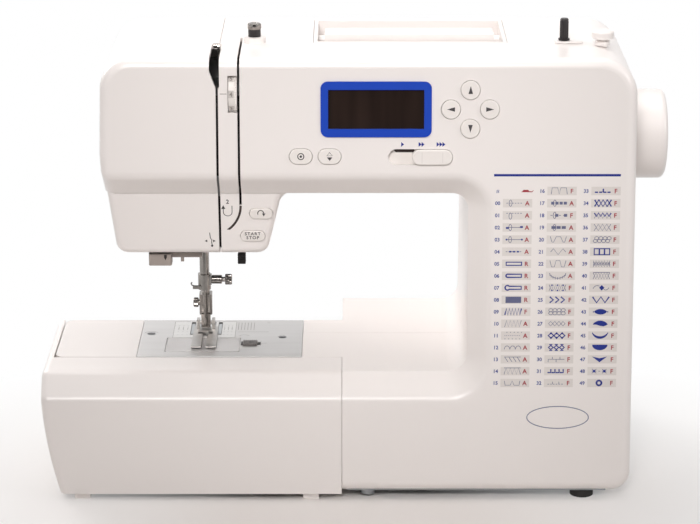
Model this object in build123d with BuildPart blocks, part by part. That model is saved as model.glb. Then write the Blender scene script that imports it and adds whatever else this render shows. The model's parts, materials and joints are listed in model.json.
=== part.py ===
"""A computerised free-arm sewing machine, as an assembly of its separate pieces.

Millimetres. X runs along the arm towards the handwheel, Y to the back and Z up. The origin lies on
the surface that the machine stands on, under its middle.
"""
import math
import os

from build123d import *

os.makedirs("parts", exist_ok=True)

# Casing
foot_height = 5.0
bed_height = 80.0
head_height = 152.5
arm_height = 195.0
top_height = 282.0
front_reach = 85.0
back_reach = 85.0
front_tilt = 5.06
back_tilt = 4.84
arm_left = -157.0
head_bulge = 1.5
head_bulge_height = arm_height + 27.0
head_right = -55.5
head_flare = 10.0
head_lean = 9.4
head_back = 50.0
head_ledge = 0.8
column_left = 71.0
column_right = 175.5
column_draft = 1.0
bed_left = -34.0
harp_chamfer = 13.5
harp_round = 8.0
edge_round = 6.5
top_left_round = 20.0
top_right_round = 24.0
harp_top_round = 10.0
harp_foot_round = 11.5
base_round = 12.0
head_round = 8.0
wall = 3.0
split_y = 8.0
face_x = -85.0
seam = 0.3

# Clearances
slide_gap = 0.3
running_gap = 0.03
press_gap = 0.02
lift_gap = 0.3

# Thread slots in the head
slot_width = 1.5
take_up_slot = 6.2
take_up_slot_foot = top_height - 18.0
take_up_slot_taper = 10.5
take_up_slot_back = -19.0
guide_slot_x = -71.7
head_drop = arm_height - head_height
guide_slot_turn = head_height + 0.788 * head_drop
guide_slot_radius = 0.493 * head_drop
guide_slot_angle = 53.0

# Shafts, pulleys and belts
shaft_z = arm_height + 0.276 * (top_height - arm_height)
shaft_radius = 5.0
shaft_left = -72.0
bush_wall = 3.0
crank_radius = 18.5
crank_width = 8.0
crank_throw = 14.0
crank_pin_radius = 3.0
crank_pin_length = 6.0
lower_z = bed_height - 35.0
lower_radius = 4.0
timing_radius = 12.0
timing_x = 150.0
drive_radius = 24.0
drive_x = 161.5
pulley_width = 7.0
belt_thickness = 1.7
motor_y = 44.0
motor_z = bed_height - 5.0
motor_radius = 17.0
motor_length = 54.0
motor_pulley_radius = 8.0
motor_shaft_radius = 2.5
handwheel_radius = 28.6
handwheel_left = 177.0
handwheel_right = 198.6
handwheel_rim = 4.0
handwheel_dish = 12.0
handwheel_face = 4.5

# Frame casting
frame_y = 14.0
frame_thickness = 12.0
frame_right = 140.0
bearing_width = 12.0
upper_bearing_left = -58.0
lower_bearing_left = -84.0
bearing_half = 13.0

# Needle, presser and hook
needle_x = -98.5
needle_y = 1.5
needle_bar_radius = 3.0
needle_bar_top = top_height - 14.0
needle_bar_foot = head_height - 36.0
needle_radius = 0.8
needle_tip = bed_height + 7.0
presser_offset = 12.5
presser_radius = 2.6
presser_top = top_height - 24.0
holder_width = 8.4
holder_top = bed_height + 26.0
foot_width = 16.0
foot_front = -26.0
foot_length = 40.0
foot_thickness = 2.0
hook_radius = 15.5
hook_offset = 17.5
hook_wall = 1.5
hook_shaft_radius = 2.5
hook_floor = bed_height - 24.0
worm_radius = 8.0
worm_width = 12.0

# Free arm, plate and table
arm_front = -38.6
arm_back = 33.0
arm_under = 22.0
arm_wall = 2.5
plate_left = -141.0
plate_thickness = 2.0
cover_left = -123.3
cover_right = -75.1
cover_front = -28.5
cover_back = -2.5
cover_thickness = 1.2
table_left = -199.4
table_right = -8.0
table_gap = 0.8
table_wall = 2.5
table_end_wall = 5.2
table_end_curve = 12.8
table_end_round = 4.5
arm_end = table_left + table_end_wall + table_gap
table_foot = 4.0

# Front panel
panel_wall_gap = 0.3
button_rise = 1.2
button_travel = 1.0
button_lip = 1.2
button_lip_thickness = 1.2
panel_low = arm_height + harp_chamfer
panel_band = top_height - edge_round - panel_low
display_x = 13.1
display_z = panel_low + 0.637 * panel_band
bezel_width = 68.4
bezel_height = 0.516 * panel_band
arrow_gap = 6.0
arrow_radius = 0.088 * panel_band
arrow_offset = 0.179 * panel_band
arrow_x = display_x + bezel_width / 2 + arrow_gap + arrow_offset + arrow_radius
arrow_z = display_z
pill_width = 0.212 * panel_band
pill_height = 0.143 * panel_band
pill_z = panel_low + 0.199 * panel_band
lock_x = -33.4
needle_key_x = lock_x + 1.2535 * pill_width
reverse_x = -58.9
reverse_z = head_height + 0.666 * head_drop
reverse_width = 14.6
reverse_height = 0.165 * head_drop
start_x = -64.4
start_z = head_height + 0.3 * head_drop
start_width = 15.5
start_height = 0.165 * head_drop
slider_x = 40.7
slider_z = panel_low + 0.193 * panel_band
slider_length = 40.0
slider_height = 0.149 * panel_band
slider_knob = 25.0
slider_apron = 1.5
slider_rise = 2.0
bezel_rise = 0.8
bezel_depth = 4.0
bezel_round = 4.5
window_width = 59.2
window_height = 0.705 * bezel_height
window_thickness = 2.0
window_recess = 0.6
board_x = 37.0
board_z = (arm_height + top_height) / 2 + 1.5
board_width = 122.0
board_height = top_height - arm_height - 21.0
board_depth = 12.0
board_thickness = 1.6
dial_x = -75.3
dial_z = top_height - 21.5
dial_radius = 16.0
dial_width = 5.4
dial_rise = 1.0
dial_window = 23.0
dial_pin_radius = 2.0

# Top of the arm
tray_left = -26.0
tray_right = 96.0
tray_front = -14.0
tray_back = 50.0
tray_depth = 22.0
tray_wall = 2.5
handle_left = -19.0
handle_right = 88.0
handle_front = -9.0
handle_grip = 14.0
handle_rise = 5.5
handle_pivot_y = 28.0
handle_pivot_z = top_height - 8.0
handle_arm = 9.0
handle_stud_radius = 3.0
winder_x = 131.8
winder_y = -14.0
winder_travel = 6.0
winder_radius = 2.75
winder_height = 13.7
stopper_x = 155.4
stopper_y = -22.0
guide_x = -63.2
guide_y = -13.0
guide_pin_radius = 3.0
guide_boss_radius = 7.0
guide_boss_rise = 3.8
guide_neck_radius = 4.0
guide_neck_top = 8.6
guide_cap_height = 3.7
spool_y = 42.0
spool_z = top_height - 11.0
spool_radius = 2.5
spool_length = 70.0

# Levers under and behind the head
threader_x = -124.0
threader_rod = 2.5
buttonhole_x = -72.8
buttonhole_y = -20.0
buttonhole_rod = 2.2
lifter_x = -80.0
lifter_z = head_height + 10.5
lifter_pin = 2.5
lifter_length = 41.0
take_up_pivot_y = 6.0
take_up_pivot_z = top_height - 36.0
take_up_tip_y = -31.0
take_up_tip_z = top_height + 3.0
take_up_thickness = 1.2

# Right side
switch_y = 33.0
switch_z = bed_height - 14.0
switch_width = 22.0
switch_height = 16.0
inlet_z = bed_height - 41.0
inlet_height = 18.0

# Longer than any piece
far = 400.0


def front_y(z):
    """Y of the leaning front panel at height z."""
    return -front_reach + (z - foot_height) * math.tan(math.radians(front_tilt))


def back_y(z):
    """Y of the leaning back at height z."""
    return back_reach - (z - foot_height) * math.tan(math.radians(back_tilt))


head_front_top = front_y(arm_height) + harp_chamfer + head_ledge


def head_y(z):
    """Y of the lower head's front, which falls back towards its foot."""
    return head_front_top + (arm_height - z) * math.tan(math.radians(head_lean))


threader_y = head_y(head_height) + 11


def panel(x, z):
    """Plane on the front panel, facing out, with its Y axis up the panel."""
    tilt = math.radians(front_tilt)
    return Plane((x, front_y(z), z), x_dir=(1, 0, 0), z_dir=(0, -math.cos(tilt), math.sin(tilt)))


def head_panel(x, z):
    """Plane on the lower head's front, facing out."""
    lean = math.radians(head_lean)
    return Plane((x, head_y(z), z), x_dir=(1, 0, 0), z_dir=(0, -math.cos(lean), -math.sin(lean)))


def back_panel(x, z):
    """Plane on the back of the casing, facing out."""
    tilt = math.radians(back_tilt)
    return Plane((x, back_y(z), z), x_dir=(-1, 0, 0), z_dir=(0, math.cos(tilt), math.sin(tilt)))


def block(x, y, z, mode=Mode.ADD):
    """A box between two X, two Y and two Z values."""
    middle = ((x[0] + x[1]) / 2, (y[0] + y[1]) / 2, (z[0] + z[1]) / 2)
    with Locations(middle):
        Box(x[1] - x[0], y[1] - y[0], z[1] - z[0], mode=mode)


def rod_x(x, y, z, radius, mode=Mode.ADD):
    """A round bar along X."""
    with Locations(Location(((x[0] + x[1]) / 2, y, z), (0, 90, 0))):
        Cylinder(radius, x[1] - x[0], mode=mode)


def rod_y(x, y, z, radius, mode=Mode.ADD):
    """A round bar along Y."""
    with Locations(Location((x, (y[0] + y[1]) / 2, z), (90, 0, 0))):
        Cylinder(radius, y[1] - y[0], mode=mode)


def rod_z(x, y, z, radius, mode=Mode.ADD):
    """A round bar along Z."""
    with Locations((x, y, (z[0] + z[1]) / 2)):
        Cylinder(radius, z[1] - z[0], mode=mode)


def key_outline(width, height):
    """The outline of a push button: round, or a pill where it is wider than high."""
    if width > height:
        SlotOverall(width, height)
    else:
        Circle(width / 2)


def casing_form(inset):
    """The arm, column and bed, or the space inside them where inset is their wall."""
    open_end = 2 * inset
    right_foot = [(column_right, foot_height - open_end)]
    if inset:
        right_foot = [
            (column_right, foot_height + base_round),
            (column_right - base_round, foot_height),
            (column_right - base_round, foot_height - open_end),
        ]
    chamfer_length = harp_chamfer - inset * (2 - math.sqrt(2))
    with BuildPart() as form:
        with BuildSketch(Plane.XZ) as outline:
            with BuildLine():
                Polyline(
                    (arm_left, arm_height),
                    (arm_left - head_bulge, head_bulge_height),
                    (arm_left, top_height),
                    (column_right - column_draft, top_height),
                    *right_foot,
                    (bed_left - open_end, foot_height - open_end),
                    (bed_left - open_end, bed_height),
                    (column_left, bed_height),
                    (column_left, arm_height),
                    close=True,
                )
            make_face()
            fillet(outline.vertices().group_by(Axis.Y)[-1].sort_by(Axis.X)[0], top_left_round)
            fillet(outline.vertices().group_by(Axis.Y)[-1].sort_by(Axis.X)[-1], top_right_round)
            inner = outline.vertices().filter_by(lambda v: abs(v.X - column_left) < seam)
            fillet(inner.sort_by(Axis.Y)[-1], harp_top_round)
            inner = outline.vertices().filter_by(lambda v: abs(v.X - column_left) < seam)
            fillet(inner.sort_by(Axis.Y)[0], harp_foot_round)
            if inset:
                offset(amount=-inset, kind=Kind.INTERSECTION)
            else:
                fillet(outline.vertices().group_by(Axis.Y)[0].sort_by(Axis.X)[-1], base_round)
        extrude(amount=far / 2, both=True)
        front_slope = inset / math.cos(math.radians(front_tilt))
        back_slope = inset / math.cos(math.radians(back_tilt))
        low = -far / 4
        with BuildSketch(Plane.YZ):
            Polygon(
                (front_y(low) + front_slope, low),
                (back_y(low) - back_slope, low),
                (back_y(far) - back_slope, far),
                (front_y(far) + front_slope, far),
                align=None,
            )
        extrude(amount=far, both=True, mode=Mode.INTERSECT)

        # The wide bevel round the harp space
        front = form.faces().sort_by(Axis.Y)[0]
        harp = front.edges().filter_by(
            lambda e: bed_height - inset - seam < e.center().Z < arm_height + inset + seam
            and e.center().X < column_left + inset + seam
        )
        chamfer(harp, chamfer_length)

        # The rounded rim of the front panel, and of the back
        lean = math.cos(math.radians(front_tilt))
        panels = form.faces().filter_by(lambda f: abs(f.normal_at().Y + lean) < 0.001)
        rim = panels.sort_by(SortBy.AREA)[-1].edges().filter_by(
            lambda e: e.center().Z > arm_height + 2 * harp_chamfer or e.center().X > column_right - edge_round
            or e.center().X < arm_left + edge_round
        )
        fillet(rim, edge_round - inset)
        back = form.faces().sort_by(Axis.Y)[-1]
        back_rim = back.edges().filter_by(
            lambda e: e.center().Z > arm_height + harp_chamfer or e.center().X > column_right - edge_round
        )
        fillet(back_rim, edge_round - inset)

        # The soft crease where the bevel meets the front panel
        if not inset:
            panels = form.faces().filter_by(lambda f: abs(f.normal_at().Y + lean) < 0.001)
            crease = panels.sort_by(SortBy.AREA)[-1].edges().filter_by(
                lambda e: bed_height - 2 * harp_chamfer < e.center().Z < arm_height + 2 * harp_chamfer
                and arm_left + wall < e.center().X < column_left + 2 * harp_chamfer
            )
            fillet(crease, harp_round)
    return form.part


def head_form(inset):
    """The lower head, or the space inside it."""
    raised = arm_height + edge_round
    with BuildPart() as form:
        with BuildSketch(Plane.XZ) as outline:
            with BuildLine():
                Polyline(
                    (arm_left + head_ledge, raised),
                    (arm_left + edge_round, head_height),
                    (head_right, head_height),
                    (head_right + head_flare, arm_height),
                    (head_right + 3 * head_flare, arm_height),
                    (head_right + 3 * head_flare, raised),
                    close=True,
                )
            make_face()
            fillet(outline.vertices().group_by(Axis.Y)[0], head_round)
            flare = outline.vertices().filter_by(lambda v: abs(v.X - head_right - head_flare) < seam)
            fillet(flare, head_flare)
            if inset:
                offset(amount=-inset, kind=Kind.INTERSECTION)
        extrude(amount=far / 2, both=True)
        slope = inset / math.cos(math.radians(head_lean))
        with BuildSketch(Plane.YZ):
            Polygon(
                (head_y(0) + slope, 0),
                (head_back - inset, 0),
                (head_back - inset, far),
                (head_y(far) + slope, far),
                align=None,
            )
        extrude(amount=far, both=True, mode=Mode.INTERSECT)
        if not inset:
            front = form.faces().sort_by(Axis.Y)[0]
            sides = front.edges().filter_by(lambda e: e.center().Z < arm_height and e.center().X < needle_x)
            fillet(sides.sort_by(Axis.X)[0], head_round - wall)
    return form.part


def end_form(inset, front=-far):
    """The space right of the extension table's curved end, less an inset, from a front plane back."""
    end_x = table_left + inset
    foot_x = end_x + table_end_curve
    with BuildPart() as form:
        with BuildSketch(Plane.XZ.offset(-far)):
            with BuildLine():
                TangentArc((end_x, bed_height), (foot_x, 0), tangent=(0, -1))
                Polyline((foot_x, 0), (far, 0), (far, bed_height), (end_x, bed_height))
            make_face()
        extrude(amount=far - front)
    return form.part


# Where the front, the back and the face cover of the casing part
front_half = ((-far, far), (-far, split_y - seam / 2), (-far, far))
back_half = ((-far, far), (split_y + seam / 2, far), (-far, far))
notch_front = arm_front - seam
notch_back = arm_back + seam

with BuildPart() as cavity:
    add(casing_form(wall))
    add(head_form(wall))
    block(
        (-far, table_right + wall), (-far, notch_front + wall), (-far, bed_height + seam), mode=Mode.SUBTRACT
    )
    block((-far, table_right + wall), (notch_back - wall, far), (-far, bed_height + seam), mode=Mode.SUBTRACT)

with BuildPart() as shell:
    add(casing_form(0))
    add(head_form(0))
    add(cavity.part, mode=Mode.SUBTRACT)
    block((-far, table_right), (-far, notch_front), (-far, bed_height + seam), mode=Mode.SUBTRACT)
    block((-far, table_right), (notch_back, far), (-far, bed_height + seam), mode=Mode.SUBTRACT)

    # Thread slots down the head
    slot_half = slot_width / 2
    slot_depth = (-far, head_y(head_height) + wall + seam)
    block((face_x - slot_half, face_x + slot_half), slot_depth, (0, take_up_slot_foot), mode=Mode.SUBTRACT)
    take_up_x = (face_x - take_up_slot + 2 * slot_half, face_x + 2 * slot_half)
    with BuildSketch(Plane.XZ.offset(-take_up_slot_back)):
        Polygon(
            (face_x - slot_half, take_up_slot_foot),
            (take_up_x[1], take_up_slot_foot),
            (take_up_x[1], far),
            (take_up_x[0], far),
            (take_up_x[0], take_up_slot_foot + take_up_slot_taper),
            align=None,
        )
    extrude(amount=far, mode=Mode.SUBTRACT)
    guide_x_range = (guide_slot_x - slot_half, guide_slot_x + slot_half)
    block(guide_x_range, slot_depth, (guide_slot_turn, far), mode=Mode.SUBTRACT)
    block(guide_x_range, (-far, 0), (dial_z, far), mode=Mode.SUBTRACT)
    with BuildSketch(Plane.XZ.offset(-slot_depth[1])):
        tail = CenterArc(
            (guide_slot_x - guide_slot_radius, guide_slot_turn), guide_slot_radius,
            -guide_slot_angle, guide_slot_angle, mode=Mode.PRIVATE,
        )
        SlotArc(tail, slot_width)
    extrude(amount=far, mode=Mode.SUBTRACT)

    # Windows and holes in the front panel
    with BuildSketch(panel(display_x, display_z)):
        RectangleRounded(bezel_width + press_gap * 10, bezel_height + press_gap * 10, bezel_round)
    extrude(amount=-2 * wall, mode=Mode.SUBTRACT)
    for step_x, step_z in ((1, 0), (-1, 0), (0, 1), (0, -1)):
        with BuildSketch(panel(arrow_x + step_x * arrow_offset, arrow_z + step_z * arrow_offset)):
            Circle(arrow_radius + panel_wall_gap)
        extrude(amount=-2 * wall, mode=Mode.SUBTRACT)
    for key_x in (lock_x, needle_key_x):
        with BuildSketch(panel(key_x, pill_z)):
            SlotOverall(pill_width + 2 * panel_wall_gap, pill_height + 2 * panel_wall_gap)
        extrude(amount=-2 * wall, mode=Mode.SUBTRACT)
    with BuildSketch(panel(slider_x, slider_z)):
        SlotOverall(slider_length, slider_height)
    extrude(amount=-2 * wall, mode=Mode.SUBTRACT)
    with BuildSketch(panel(dial_x, dial_z)):
        Rectangle(dial_width + 2 * slide_gap, dial_window)
    extrude(amount=-3 * wall, mode=Mode.SUBTRACT)
    with BuildSketch(head_panel(reverse_x, reverse_z)):
        SlotOverall(reverse_width + 2 * panel_wall_gap, reverse_height + 2 * panel_wall_gap)
    extrude(amount=-2 * wall, mode=Mode.SUBTRACT)
    with BuildSketch(head_panel(start_x, start_z)):
        SlotOverall(start_width + 2 * panel_wall_gap, start_height + 2 * panel_wall_gap)
    extrude(amount=-2 * wall, mode=Mode.SUBTRACT)

    lip_room = 2 * (button_lip + panel_wall_gap)
    lip_depth = slide_gap + button_lip_thickness + button_travel + 1
    with BuildSketch(head_panel(reverse_x, reverse_z).offset(-wall)):
        SlotOverall(reverse_width + lip_room, reverse_height + lip_room)
    extrude(amount=-lip_depth, mode=Mode.SUBTRACT)
    with BuildSketch(head_panel(start_x, start_z).offset(-wall)):
        SlotOverall(start_width + lip_room, start_height + lip_room)
    extrude(amount=-lip_depth, mode=Mode.SUBTRACT)

    # The open underside of the head
    block((threader_x - 12, head_right - 8), (threader_y - 6, head_back - 8), (0, head_height + wall + seam),
          mode=Mode.SUBTRACT)
    rod_y(
        lifter_x, (head_back - 2 * wall, head_back + wall), lifter_z, lifter_pin + running_gap,
        mode=Mode.SUBTRACT,
    )

    # Openings in the top
    top_cut = (top_height - 2 * wall, top_height + wall)
    block(
        (tray_left - seam, tray_right + seam), (tray_front - seam, tray_back + seam), top_cut,
        mode=Mode.SUBTRACT,
    )
    block((winder_x - 3.5, winder_x + winder_travel + 3.5), (winder_y - 3.5, winder_y + 3.5), top_cut,
          mode=Mode.SUBTRACT)
    rod_z(stopper_x, stopper_y, (top_height - 4 * wall, top_height + wall), 3 + press_gap, mode=Mode.SUBTRACT)
    rod_z(guide_x, guide_y, (top_height - wall, top_height + guide_boss_rise), guide_boss_radius)
    rod_z(guide_x, guide_y, (top_cut[0], far), guide_pin_radius + press_gap, mode=Mode.SUBTRACT)

    # Openings in the right side
    side_cut = (column_right - 2 * wall, column_right + 2 * wall)
    rod_x(side_cut, 0, shaft_z, shaft_radius + 1, mode=Mode.SUBTRACT)
    switch_span = (switch_y - switch_width / 2, switch_y + switch_width / 2)
    block(side_cut, (switch_span[0] - slide_gap, switch_span[1] + slide_gap),
          (switch_z - switch_height / 2 - 1, switch_z + switch_height / 2 + 1), mode=Mode.SUBTRACT)
    rod_y(column_right - wall, (switch_span[0] - 1.8, switch_span[1] + 1.8), switch_z, 1.5 + running_gap,
          mode=Mode.SUBTRACT)
    block(
        side_cut, (switch_span[0] - press_gap, switch_span[1] + press_gap),
        (inlet_z - inlet_height / 2 - press_gap, inlet_z + inlet_height / 2 + press_gap),
        mode=Mode.SUBTRACT,
    )

    # Screw holes in the back
    arm_screw_z = arm_height + 40
    bed_screw_z = bed_height / 2
    column_screw_z = (bed_height + arm_height) / 2 - 7
    back_screws = (
        (-20, arm_screw_z),
        (70, arm_screw_z),
        (150, arm_screw_z),
        (150, bed_screw_z),
        (20, bed_screw_z),
        (110, column_screw_z),
    )
    for screw_x, screw_z in back_screws:
        with BuildSketch(back_panel(screw_x, screw_z)):
            Circle(1.5 + press_gap)
        extrude(amount=-2 * wall, mode=Mode.SUBTRACT)

with BuildPart() as front_cover:
    add(shell.part)
    block(*front_half, mode=Mode.INTERSECT)
    block((face_x + seam / 2, far), (-far, far), (-far, far), mode=Mode.INTERSECT)

    # Posts that carry the control board
    post_low = arm_height + 17
    post_high = top_height - 14
    for post_x, post_z in ((-2, post_low), (92, post_low), (92, post_high), (-2, post_high + 3.5)):
        with BuildSketch(panel(post_x, post_z).offset(-wall / 2)):
            Circle(2.2)
        extrude(amount=-(board_depth - wall / 2))
front_cover.part.label = "front_cover"
export_step(front_cover.part, "parts/front_cover.step")

with BuildPart() as rear_cover:
    add(shell.part)
    block(*back_half, mode=Mode.INTERSECT)
    block((face_x + seam / 2, far), (-far, far), (-far, far), mode=Mode.INTERSECT)
rear_cover.part.label = "rear_cover"
export_step(rear_cover.part, "parts/rear_cover.step")

with BuildPart() as face_cover:
    add(shell.part)
    block((-far, face_x - seam / 2), (-far, far), (-far, far), mode=Mode.INTERSECT)
face_cover.part.label = "face_cover"
export_step(face_cover.part, "parts/face_cover.step")

# Bed: the free arm, its plate, the base and the extension table
with BuildPart() as free_arm_cover:
    block((arm_end, bed_left - seam), (arm_front, arm_back), (arm_under, bed_height))
    add(end_form(arm_end - table_left), mode=Mode.INTERSECT)
    ends = free_arm_cover.faces().sort_by(Axis.X)[0].edges().filter_by(Axis.Y, reverse=True)
    fillet(ends, 2 * wall)
    block((arm_end + table_end_curve, far), (arm_front + arm_wall, arm_back - arm_wall),
          (arm_under + arm_wall, bed_height - plate_thickness - arm_wall), mode=Mode.SUBTRACT)
    block((plate_left - seam, far), (-far, far), (bed_height - plate_thickness, far), mode=Mode.SUBTRACT)
    block((cover_left - 5, bed_left - 14), (arm_front + 2 * arm_wall, arm_back - arm_wall - 0.5),
          (arm_under + 2 * arm_wall, far), mode=Mode.SUBTRACT)
    for screw_x, screw_y in ((-47.6, -0.6), (-134.5, 6.0)):
        rod_z(screw_x, screw_y, (bed_height - 12, far), 1.5 + press_gap, mode=Mode.SUBTRACT)
free_arm_cover.part.label = "free_arm_cover"
export_step(free_arm_cover.part, "parts/free_arm_cover.step")

plate_foot = bed_height - plate_thickness
cover_seat = bed_height - cover_thickness - 0.1
feed_bars = (-9.0, -4.5, 4.5, 9.0)
feed_bar_width = 2.2
feed_stroke = 2.0
feed_front = 6.5
feed_length = 20.0
with BuildPart() as needle_plate:
    block((plate_left, bed_left - seam), (arm_front, arm_back), (plate_foot, bed_height))
    plate_front_edge = needle_plate.edges().filter_by(Axis.X).group_by(Axis.Z)[-1].sort_by(Axis.Y)[0]
    chamfer(plate_front_edge, plate_thickness * 0.8)
    block((cover_left - seam, cover_right + seam), (cover_front - seam, cover_back + seam), (cover_seat, far),
          mode=Mode.SUBTRACT)
    block((cover_left + 2, cover_right - 2), (cover_front + 2, cover_back - 2), (0, far), mode=Mode.SUBTRACT)
    with BuildSketch(Plane.XY.offset(plate_foot)):
        with Locations((needle_x, needle_y)):
            SlotOverall(9, 2.4)
        for bar_x in feed_bars:
            with Locations((needle_x + bar_x, feed_front + feed_length / 2)):
                Rectangle(feed_bar_width + 2 * slide_gap, feed_length + 2 * feed_stroke + 2 * slide_gap)
        with Locations((-68, -13.3)):
            Rectangle(13, 5.6)
    extrude(amount=plate_thickness, mode=Mode.SUBTRACT)
    for screw_x, screw_y in ((-47.6, -0.6), (-134.5, 6.0)):
        rod_z(screw_x, screw_y, (0, far), 3 + press_gap, mode=Mode.SUBTRACT)
needle_plate.part.label = "needle_plate"
export_step(needle_plate.part, "parts/needle_plate.step")

with BuildPart() as bobbin_cover:
    block((cover_left, cover_right), (cover_front, cover_back), (bed_height - cover_thickness, bed_height))
    fillet(bobbin_cover.edges().filter_by(Axis.Z), 1.5)
bobbin_cover.part.label = "bobbin_cover"
export_step(bobbin_cover.part, "parts/bobbin_cover.step")

with BuildPart() as cover_release:
    block((-74.2, -66), (-15.8, -10.8), (plate_foot - slide_gap, bed_height + 0.6))
    block((-76, -64.2), (-17.8, -8.8), (plate_foot - slide_gap - 1.5, plate_foot - slide_gap))
cover_release.part.label = "cover_release"
export_step(cover_release.part, "parts/cover_release.step")

base_thickness = 4.0
tongue_thickness = 5.0
tongue_left = arm_end + table_end_curve + wall
foot_radius = 7.5
arm_foot_x = tongue_left + foot_radius + wall
feet = (
    (145.5, front_y(foot_height) + 11),
    (145.5, back_y(foot_height) - 15),
    (arm_foot_x, arm_front + 18),
    (arm_foot_x, arm_back - 17),
)
with BuildPart() as base_plate:
    block((table_right + wall + slide_gap, column_right - base_round - wall - slide_gap),
          (front_y(foot_height + base_thickness) + wall + 2 * slide_gap,
           back_y(foot_height + base_thickness) - wall - 2 * slide_gap),
          (foot_height, foot_height + base_thickness))
    block((tongue_left, table_right + 2 * wall),
          (notch_front + wall + slide_gap, notch_back - wall - slide_gap),
          (foot_height, foot_height + tongue_thickness))
    rod_z(8.5, front_y(foot_height) + wall + 6, (2, foot_height), 5)
base_plate.part.label = "base_plate"
export_step(base_plate.part, "parts/base_plate.step")

with BuildPart() as rubber_feet:
    for foot_x, foot_y in feet:
        rod_z(foot_x, foot_y, (0, foot_height), foot_radius)
rubber_feet.part.label = "rubber_feet"
export_step(rubber_feet.part, "parts/rubber_feet.step")

table_back = arm_front - table_gap
with BuildPart() as extension_table:
    with BuildSketch(Plane.YZ.offset(table_left)):
        Polygon(
            (front_y(table_foot), table_foot),
            (front_y(bed_height - harp_chamfer), bed_height - harp_chamfer),
            (front_y(bed_height) + harp_chamfer, bed_height),
            (table_back, bed_height),
            (table_back, table_foot),
            align=None,
        )
    extrude(amount=table_right - seam - table_left)
    end_reach = table_left + table_end_curve + table_end_wall
    block((table_left, end_reach), (table_back - table_wall, arm_back), (table_foot, bed_height))
    add(end_form(0), mode=Mode.INTERSECT)
    creases = extension_table.edges().filter_by(Axis.X).filter_by(
        lambda e: e.center().Y < table_back - seam and e.center().Z > bed_height / 2)
    fillet(creases, harp_round)
    end_rim = extension_table.faces().sort_by(Axis.X)[0].edges().filter_by(
        lambda e: e.center().Z > table_foot + 1)
    fillet(end_rim, table_end_round)
    add(end_form(table_end_wall, table_back), mode=Mode.SUBTRACT)
    hollow_top = bed_height - table_wall
    hollow_left = table_left + table_end_curve + table_wall
    with BuildSketch(Plane.YZ.offset(hollow_left)):
        Polygon(
            (front_y(0) + table_wall, 0),
            (front_y(hollow_top - harp_chamfer) + table_wall, hollow_top - harp_chamfer),
            (front_y(hollow_top) + table_wall + harp_chamfer, hollow_top),
            (table_back - table_wall, hollow_top),
            (table_back - table_wall, 0),
            align=None,
        )
    extrude(amount=table_right - seam - table_wall - hollow_left, mode=Mode.SUBTRACT)
    for foot_x in (table_left + 2 * table_end_curve, table_right - 20):
        block(
            (foot_x - 5, foot_x + 5), (front_y(table_foot) + 2, front_y(table_foot) + 12), (0, table_foot + 4)
        )
extension_table.part.label = "extension_table"
export_step(extension_table.part, "parts/extension_table.step")

# Frame casting
frame_back = frame_y + frame_thickness
frame_face = frame_y + 8
presser_y = needle_y + presser_offset
hook_y = needle_y - hook_offset
beam_foot = arm_height + 9
beam_top = top_height - 32
bed_beam_foot = lower_z - 19
bed_beam_top = lower_z - 1
feed_seat = bed_height - 14
bush_radius = shaft_radius + bush_wall
lower_bush_radius = lower_radius + bush_wall
upper_bearings = (upper_bearing_left, frame_right - bearing_width)
lower_bearings = (lower_bearing_left, frame_right - bearing_width)
eye_upper = (shaft_z + 3, shaft_z + 11)
eye_lower = (head_height + wall + slide_gap, head_height + 8)
head_plate = (head_height + 7.5, top_height - 20)
threader_eye = (head_height + 17.5, head_height + 25.5)
buttonhole_eye = (head_height + 7.5, head_height + 13.5)
hook_carrier = (bed_beam_foot, bed_beam_foot + 8)
dial_inset = dial_radius - dial_rise
dial_y = front_y(dial_z) + dial_inset * math.cos(math.radians(front_tilt))
dial_axis_z = dial_z - dial_inset * math.sin(math.radians(front_tilt))
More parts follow.
